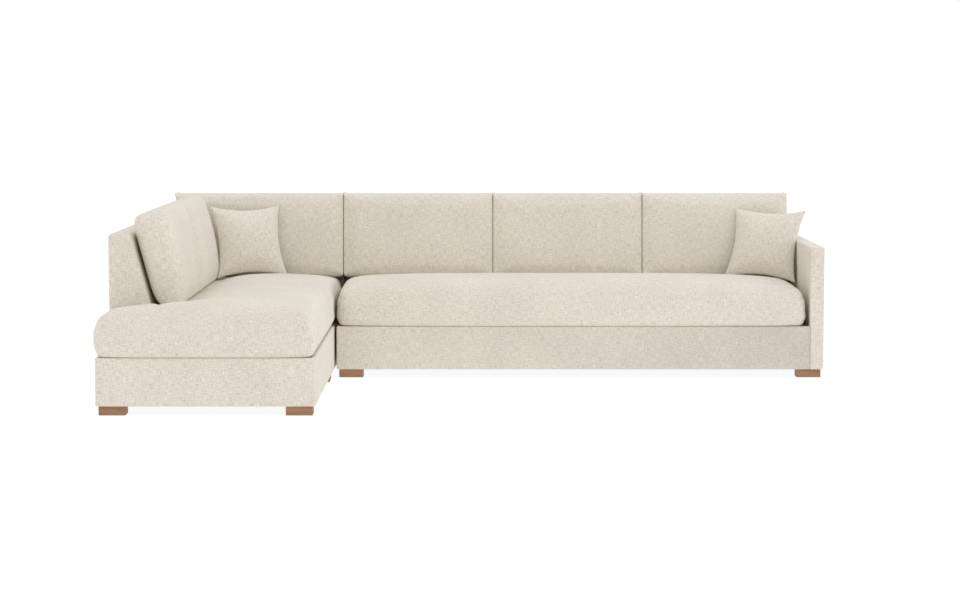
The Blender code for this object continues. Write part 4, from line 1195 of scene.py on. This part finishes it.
# %% Make the grain group and the hard materials
BROAD_GRAIN = ((3.0, 38.0, 38.0), 3.0)
FINE_GRAIN = ((14.0, 420.0, 420.0), 2.0)
PORE_GRAIN = ((40.0, 900.0, 900.0), 1.0)
GRAIN_ROUGHNESS = 0.6
PORE_EDGES = {"From Min": 0.56, "From Max": 0.66}
FINE_SHARE = 0.35
PORE_DEPTH = 0.3
GRAIN_STOPS = (0.30, 0.5, 0.70)
GRAIN_RELIEF = 0.0002
GRAIN_STRENGTH = 0.5
STEEL_COLOUR = (0.50, 0.50, 0.52, 1.0)
STEEL_STREAKS = {"Scale": 180.0, "Detail": 3.0}
STEEL_DULLNESS = {"To Min": 0.25, "To Max": 0.5}
OAK = [(0.200, 0.098, 0.046), (0.325, 0.172, 0.088), (0.415, 0.240, 0.132)]
PINE = [(0.45, 0.29, 0.15), (0.62, 0.45, 0.27), (0.70, 0.54, 0.36)]


def make_grain_group():
    """Tone and height of sawn wood, over coordinates whose X runs along the grain."""
    tree, given, made = new_group(
        "ShaderNodeTree", "sawn_grain",
        {"Along": ("NodeSocketVector", None), "Pores": ("NodeSocketFloat", 0.5)},
        {"Tone": "NodeSocketFloat", "Height": "NodeSocketFloat"})

    def stretched_noise(stretch, detail):
        scaled = multiply_vector(tree, given["Along"], stretch)
        return add_node(tree, "ShaderNodeTexNoise",
                        {"Vector": scaled, "Scale": 1.0, "Detail": detail,
                         "Roughness": GRAIN_ROUGHNESS})["Fac"]

    broad, fine, specks = (stretched_noise(*grain) for grain in (BROAD_GRAIN, FINE_GRAIN, PORE_GRAIN))
    pores = add_node(tree, "ShaderNodeMapRange", {"Value": specks, **PORE_EDGES})["Result"]
    tone = add_node(tree, "ShaderNodeMix", {0: FINE_SHARE, 2: broad, 3: fine}, data_type='FLOAT')[0]
    darker = add_maths(tree, 'MULTIPLY', add_maths(tree, 'MULTIPLY', pores, given["Pores"]), PORE_DEPTH)
    feed(tree, made, {"Tone": add_maths(tree, 'SUBTRACT', tone, darker),
                      "Height": add_maths(tree, 'SUBTRACT', fine, pores)})
    return tree


def make_wood(name, colours, roughness, turn=0.0, pores=0.5):
    """Wood with its grain along X, or turned about Z."""
    material, tree, shader = new_material(name, roughness)
    place = add_node(tree, "ShaderNodeTexCoord")["Object"]
    along = add_node(tree, "ShaderNodeMapping", {"Vector": place, "Rotation": (0.0, 0.0, turn)})["Vector"]
    grain = add_node(tree, "ShaderNodeGroup", {"Along": along, "Pores": pores}, node_tree=grain_group)
    colour = ramp(tree, grain["Tone"], list(zip(GRAIN_STOPS, colours)))
    colour_and_relief(tree, shader, colour, grain["Height"], GRAIN_RELIEF, GRAIN_STRENGTH)
    return material


def make_steel():
    """Drawn steel with faint brushed streaks in its roughness."""
    material, tree, shader = new_material("spring_steel", 0.35)
    place = add_node(tree, "ShaderNodeTexCoord")["Object"]
    streaks = add_node(tree, "ShaderNodeTexNoise", {"Vector": place, **STEEL_STREAKS})["Fac"]
    dull = add_node(tree, "ShaderNodeMapRange", {"Value": streaks, **STEEL_DULLNESS})["Result"]
    feed(tree, shader, {"Metallic": 1.0, "Base Color": STEEL_COLOUR, "Roughness": dull})
    return material


grain_group = make_grain_group()
oak = make_wood("stained_oak", OAK, roughness=0.55)
oak_turned = make_wood("stained_oak_turned", OAK, roughness=0.55, turn=math.pi / 2)
frame_wood = make_wood("frame_pine", PINE, roughness=0.75, pores=0.2)
frame_wood_turned = make_wood("frame_pine_turned", PINE, roughness=0.75, turn=math.pi / 2, pores=0.2)
steel = make_steel()
foam = make_plain("cushion_foam", 0.95, "ShaderNodeTexVoronoi", "Distance", {"Scale": 400.0},
                  [(0.0, (0.62, 0.55, 0.32)), (0.6, (0.86, 0.80, 0.58))], 0.001)
felt = make_plain("needled_felt", 0.95, "ShaderNodeTexNoise", "Fac",
                  {"Scale": 420.0, "Detail": 5.0, "Roughness": 0.7, "Distortion": 1.5},
                  [(0.35, (0.07, 0.07, 0.075)), (0.5, (0.14, 0.14, 0.14)), (0.62, (0.30, 0.29, 0.28))],
                  0.0015)
zip_tape = make_cloth("zip_tape", 0.0010, [(0.50, 0.44, 0.36), (0.64, 0.57, 0.48), (0.76, 0.70, 0.61)])
print("Finishes:", [material.name for material in (oak, frame_wood, steel, foam, felt, zip_tape)])

# %% [markdown]
# ## Seat decks and dust covers
#
# A pad of felt lies over the springs of each base, and thin dark cloth is stapled under it to keep
# dust out. Both are stretched sheets of one lattice layer. Cloth that is held at its edges still
# gives a little in between, so the dust cover sags by a few millimetres away from rails and feet, and
# the felt is worn in from above.

# %% Stretch the decks and dust covers
MODULES = (("sofa", "sofa_frame"), ("bumper", "bumper_frame"))
SHEET_CELL = 0.030
SHEET_GIVE = 0.0025
GIVE_START = 0.100
GIVE_REACH = 0.160


def stretch_sheet(name, body, held_x, material, sides):
    """A sheet in its CAD node's box, its given sides (0 below, 1 above) sinking between what holds it."""
    low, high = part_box(name)
    xs, ys = (np.linspace(low[axis], high[axis], round((high[axis] - low[axis]) / SHEET_CELL) + 1)
              for axis in (0, 1))
    keys, quads, _ = full_block(len(xs) - 1, len(ys) - 1, 1)
    x, y, side = xs[keys[:, 0]], ys[keys[:, 1]], keys[:, 2]
    sink = SHEET_GIVE * np.isin(side, sides)
    to_rail = np.min([np.abs(x - held) for held in (low.x, high.x, *held_x)], axis=0)
    for away in (to_rail, np.minimum(y - low.y, high.y - y)):
        free = np.clip((away - GIVE_START) / GIVE_REACH, 0, 1)
        sink = sink * free ** 2 * (3 - 2 * free)
    points = np.stack([x, y, np.where(side, high.z, low.z) - sink], 1)
    sheet = new_piece(name + "_sheet", points, quads, material)
    lay_cloth(sheet)
    return dress(sheet, body, "felt", name)


for module, body in MODULES:
    centre = [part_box("sofa_centre_rail")[0].x] if module == "sofa" else []
    stretch_sheet(module + "_seat_deck", body, [], felt, [1])
    stretch_sheet(module + "_dust_cover", body, centre, deck_cloth, [0, 1])
print("Sheets give", SHEET_GIVE * 1000, "mm")

# %% [markdown]
# ## Staples
#
# Flat-wire staples hold the dust cover to the rails. A staple is a crown with two legs that point up
# into the wood. The rows run along the middle of the rails, and stop where a foot stands.

# %% Staple the dust covers
STAPLE_PITCH = 0.038
STAPLE_CROWN = 0.010
STAPLE_WIRE = 0.0009
STAPLE_LEG = 0.0020
RAIL_MIDDLE = 0.014
FOOT_MARGIN = 0.008


def staple_shape(tree, given):
    """A crown and two legs of square wire."""
    crown, wire, leg = (given[label] for label in ("Crown", "Wire", "Leg"))
    reach = add_maths(tree, 'DIVIDE', add_maths(tree, 'SUBTRACT', crown, wire), 2.0)
    rise = add_maths(tree, 'DIVIDE', leg, 2.0)
    bar = add_node(tree, "GeometryNodeMeshCube", {"Size": add_vector(tree, X=crown, Y=wire, Z=wire)})["Mesh"]
    post = add_node(tree, "GeometryNodeMeshCube", {"Size": add_vector(tree, X=wire, Y=wire, Z=leg)})["Mesh"]
    joined = tree.nodes.new("GeometryNodeJoinGeometry")
    feed(tree, joined, {"Geometry": bar})
    for sign in (-1.0, 1.0):
        place = add_vector(tree, X=add_maths(tree, 'MULTIPLY', reach, sign), Z=rise)
        feed(tree, joined, {"Geometry": add_node(tree, "GeometryNodeTransform",
                                                 {"Geometry": post, "Translation": place})["Geometry"]})
    return joined.outputs["Geometry"]


def clear_runs(start, end, feet):
    """The stretches between start and end that lie clear of the feet, given as (low, high) pairs."""
    runs, place = [], start
    for low, high in sorted(feet):
        if low - FOOT_MARGIN > place:
            runs.append((place, low - FOOT_MARGIN))
        place = max(place, high + FOOT_MARGIN)
    return runs + ([(place, end)] if place < end else [])


def staple_rows(module):
    """Straight paths under a dust cover's edges, clear of the feet."""
    low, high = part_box(module + "_dust_cover")
    level = low.z - STAPLE_WIRE / 2
    feet = [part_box(name) for name in nodes if name.startswith(module + "_foot")]
    rows = []
    for axis in (0, 1):
        other = 1 - axis
        for line in (low[other] + RAIL_MIDDLE, high[other] - RAIL_MIDDLE):
            near = [(foot[0][axis], foot[1][axis]) for foot in feet
                    if foot[0][other] - FOOT_MARGIN < line < foot[1][other] + FOOT_MARGIN]
            for run in clear_runs(low[axis] + RAIL_MIDDLE, high[axis] - RAIL_MIDDLE, near):
                rows.append([(line, place, level) if axis else (place, line, level) for place in run])
    return rows


staple_tree = make_row_tree("row_of_staples", STAPLE_PITCH,
                            {"Crown": STAPLE_CROWN, "Wire": STAPLE_WIRE, "Leg": STAPLE_LEG}, staple_shape)
for module, body in MODULES:
    staples = lay_rows(module + "_staples", staple_tree, staple_rows(module), steel)
    dress(staples, body, "steel")
    print(module, "staple faces:", len(staples.data.polygons))

# %% [markdown]
# ## Foam cores
#
# Inside each seat cover lies a core cut from a foam slab, with eased edges and a slight crown. The
# CAD core says where it lies, and the corner of the L is read from its points. A Bevel modifier eases
# every edge, the inner one too.

# %% Cut the foam cores
CORE_CELL = 0.040
CORE_LAYERS = 3
CORE_EASING = 0.009
CORE_SEGMENTS = 3
CORE_CROWN = 0.005
CORE_CROWN_POWER = 4


def cut_core(name, body):
    """A foam core with the plan of its CAD node."""
    low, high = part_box(name)
    corners = positions(nodes[name])
    inner = [sorted(set(corners[:, axis].round(4)))[1:-1] for axis in (0, 1)]
    notch = (inner[0][0], inner[1][0]) if inner[0] else None
    lines = [np.linspace(low[axis], high[axis], round((high[axis] - low[axis]) / CORE_CELL))
             for axis in (0, 1)]
    xs, ys = (np.unique(np.concatenate([lines[axis], inner[axis]]).round(5)) for axis in (0, 1))
    keys, quads, _ = skin_of_block(plan_cells(xs, ys, notch), CORE_LAYERS)
    x, y, share = xs[keys[:, 0]], ys[keys[:, 1]], keys[:, 2] / CORE_LAYERS
    crown = (CORE_CROWN * crown_share(x, low.x, high.x, CORE_CROWN_POWER)
             * crown_share(y, low.y, high.y, CORE_CROWN_POWER))
    points = np.stack([x, y, low.z + share * (high.z - low.z + crown)], 1)
    core = new_piece(name + "_block", points, quads, foam)
    bevel = core.modifiers.new("eased_edges", 'BEVEL')
    bevel.width, bevel.segments, bevel.limit_method = CORE_EASING, CORE_SEGMENTS, 'ANGLE'
    bake_modifiers(core)
    weld(core)
    return dress(core, body, "foam", name)


for name, body in (("bench_foam_core", "bench"), ("bumper_foam_core", "bumper_seat")):
    print(name, "faces:", len(cut_core(name, body).data.polygons))

# %% [markdown]
# ## Zips
#
# Each seat cover closes with a zip across its rear wall. The tape is a strip that follows the wall: a
# ray is cast on to the cover for each of its points. The teeth are a row like the stitches, and a
# slider with its pull sits on them.

# %% Close the zips
TAPE_WIDTH = 0.022
TAPE_THICKNESS = 0.0007
TAPE_CELLS = (42, 4)
TAPE_OFF = 0.0003
TOOTH_PITCH = 0.0021
TOOTH_WIDTH = 0.0056
TOOTH_RADIUS = 0.0008
SLIDER = (0.0085, 0.0036, 0.0110)
PULL = (0.0060, 0.0014, 0.0260)
PULL_HANG = SLIDER[2] / 2 + PULL[2] / 3
SLIDER_EASING = 0.4


def tooth_shape(tree, given):
    """A short six-sided bar across the path."""
    return add_node(tree, "GeometryNodeMeshCylinder",
                    {"Vertices": 6, "Radius": given["Radius"], "Depth": given["Width"]})["Mesh"]


def make_slider(name, x, y, z):
    """A slider and its pull, hanging along the leaning wall."""
    points, quads = [], []
    for size, level in ((SLIDER, z), (PULL, z - PULL_HANG)):
        half, centre = np.array(size) / 2, np.array((x, y, level))
        block, faces = rounded_block(centre - half, centre + half, size[1] * SLIDER_EASING, size[2] / 4)
        quads.append(faces + sum(map(len, points)))
        points.append(block)
    points = np.concatenate(points)
    points[:, 1] += (points[:, 2] - z) * BACK_LEAN
    return new_piece(name, points, np.concatenate(quads), steel)


def close_zip(name, body, cover, closed_at):
    """Tape, teeth, slider and pull on the rear wall of a seat cover, the slider at one end of the row."""
    low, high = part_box(name)
    faces = [tuple(face.vertices) for face in cover.data.polygons]
    skin = BVHTree.FromPolygons([tuple(point) for point in positions(cover)], faces)
    middle = (low.z + high.z) / 2

    def wall(x, z, off):
        hit = skin.ray_cast(Vector((x, rear_y, z)), Vector((0, -1, 0)))[0]
        return (x, hit.y + off, z)

    keys, quads, _ = full_block(*TAPE_CELLS, 1)
    points = [wall(low.x + i * (high.x - low.x) / TAPE_CELLS[0],
                   middle + (j / TAPE_CELLS[1] - 0.5) * TAPE_WIDTH,
                   TAPE_OFF + (0 if k else TAPE_THICKNESS)) for i, j, k in keys.tolist()]
    tape = new_piece(name + "_tape", points, quads, zip_tape)
    lay_cloth(tape)
    proud = TAPE_OFF + TAPE_THICKNESS + TOOTH_RADIUS
    line = [wall(x, middle, proud) for x in np.linspace(low.x + SLIDER[0], high.x - SLIDER[0], TAPE_CELLS[0])]
    teeth = lay_rows(name + "_teeth", tooth_tree, [line], steel)
    dress(teeth, body, "steel")
    x, y, z = line[closed_at]
    slider = make_slider(name + "_slider", x, y + TOOTH_RADIUS, z)
    dress(slider, body, "steel")
    return dress(tape, body, "felt", name)


tooth_tree = make_row_tree("row_of_teeth", TOOTH_PITCH, {"Width": TOOTH_WIDTH, "Radius": TOOTH_RADIUS},
                           tooth_shape)
close_zip("bench_cushion_zip", "bench", bench, 0)
close_zip("bumper_cushion_zip", "bumper_seat", bumper_seat, -1)
print("Zips:", TOOTH_WIDTH * 1000, "mm teeth,", TOOTH_PITCH * 1000, "mm apart")

# %% [markdown]
# ## Finishes for the CAD nodes that stay
#
# Boards, feet, springs and hooks are right as the CAD made them, so they keep their meshes and get a
# finish by name. Wood grain runs along a board, so a board that is longer in Y takes the turned
# material.

# %% Finish the boards, feet and steel


def finish_for(name):
    """The material of a CAD node that stays, by its name."""
    low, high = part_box(name)
    longer_in_y = high.y - low.y > high.x - low.x
    if "foot" in name:
        return oak_turned if longer_in_y else oak
    if name.endswith(("rail", "frame")):
        return frame_wood_turned if longer_in_y else frame_wood
    return steel


shown = {name: node for name, node in nodes.items() if not node.hide_render}
for name, node in shown.items():
    node.data.materials.clear()
    node.data.materials.append(finish_for(name))
print("CAD nodes that show:", len(shown))
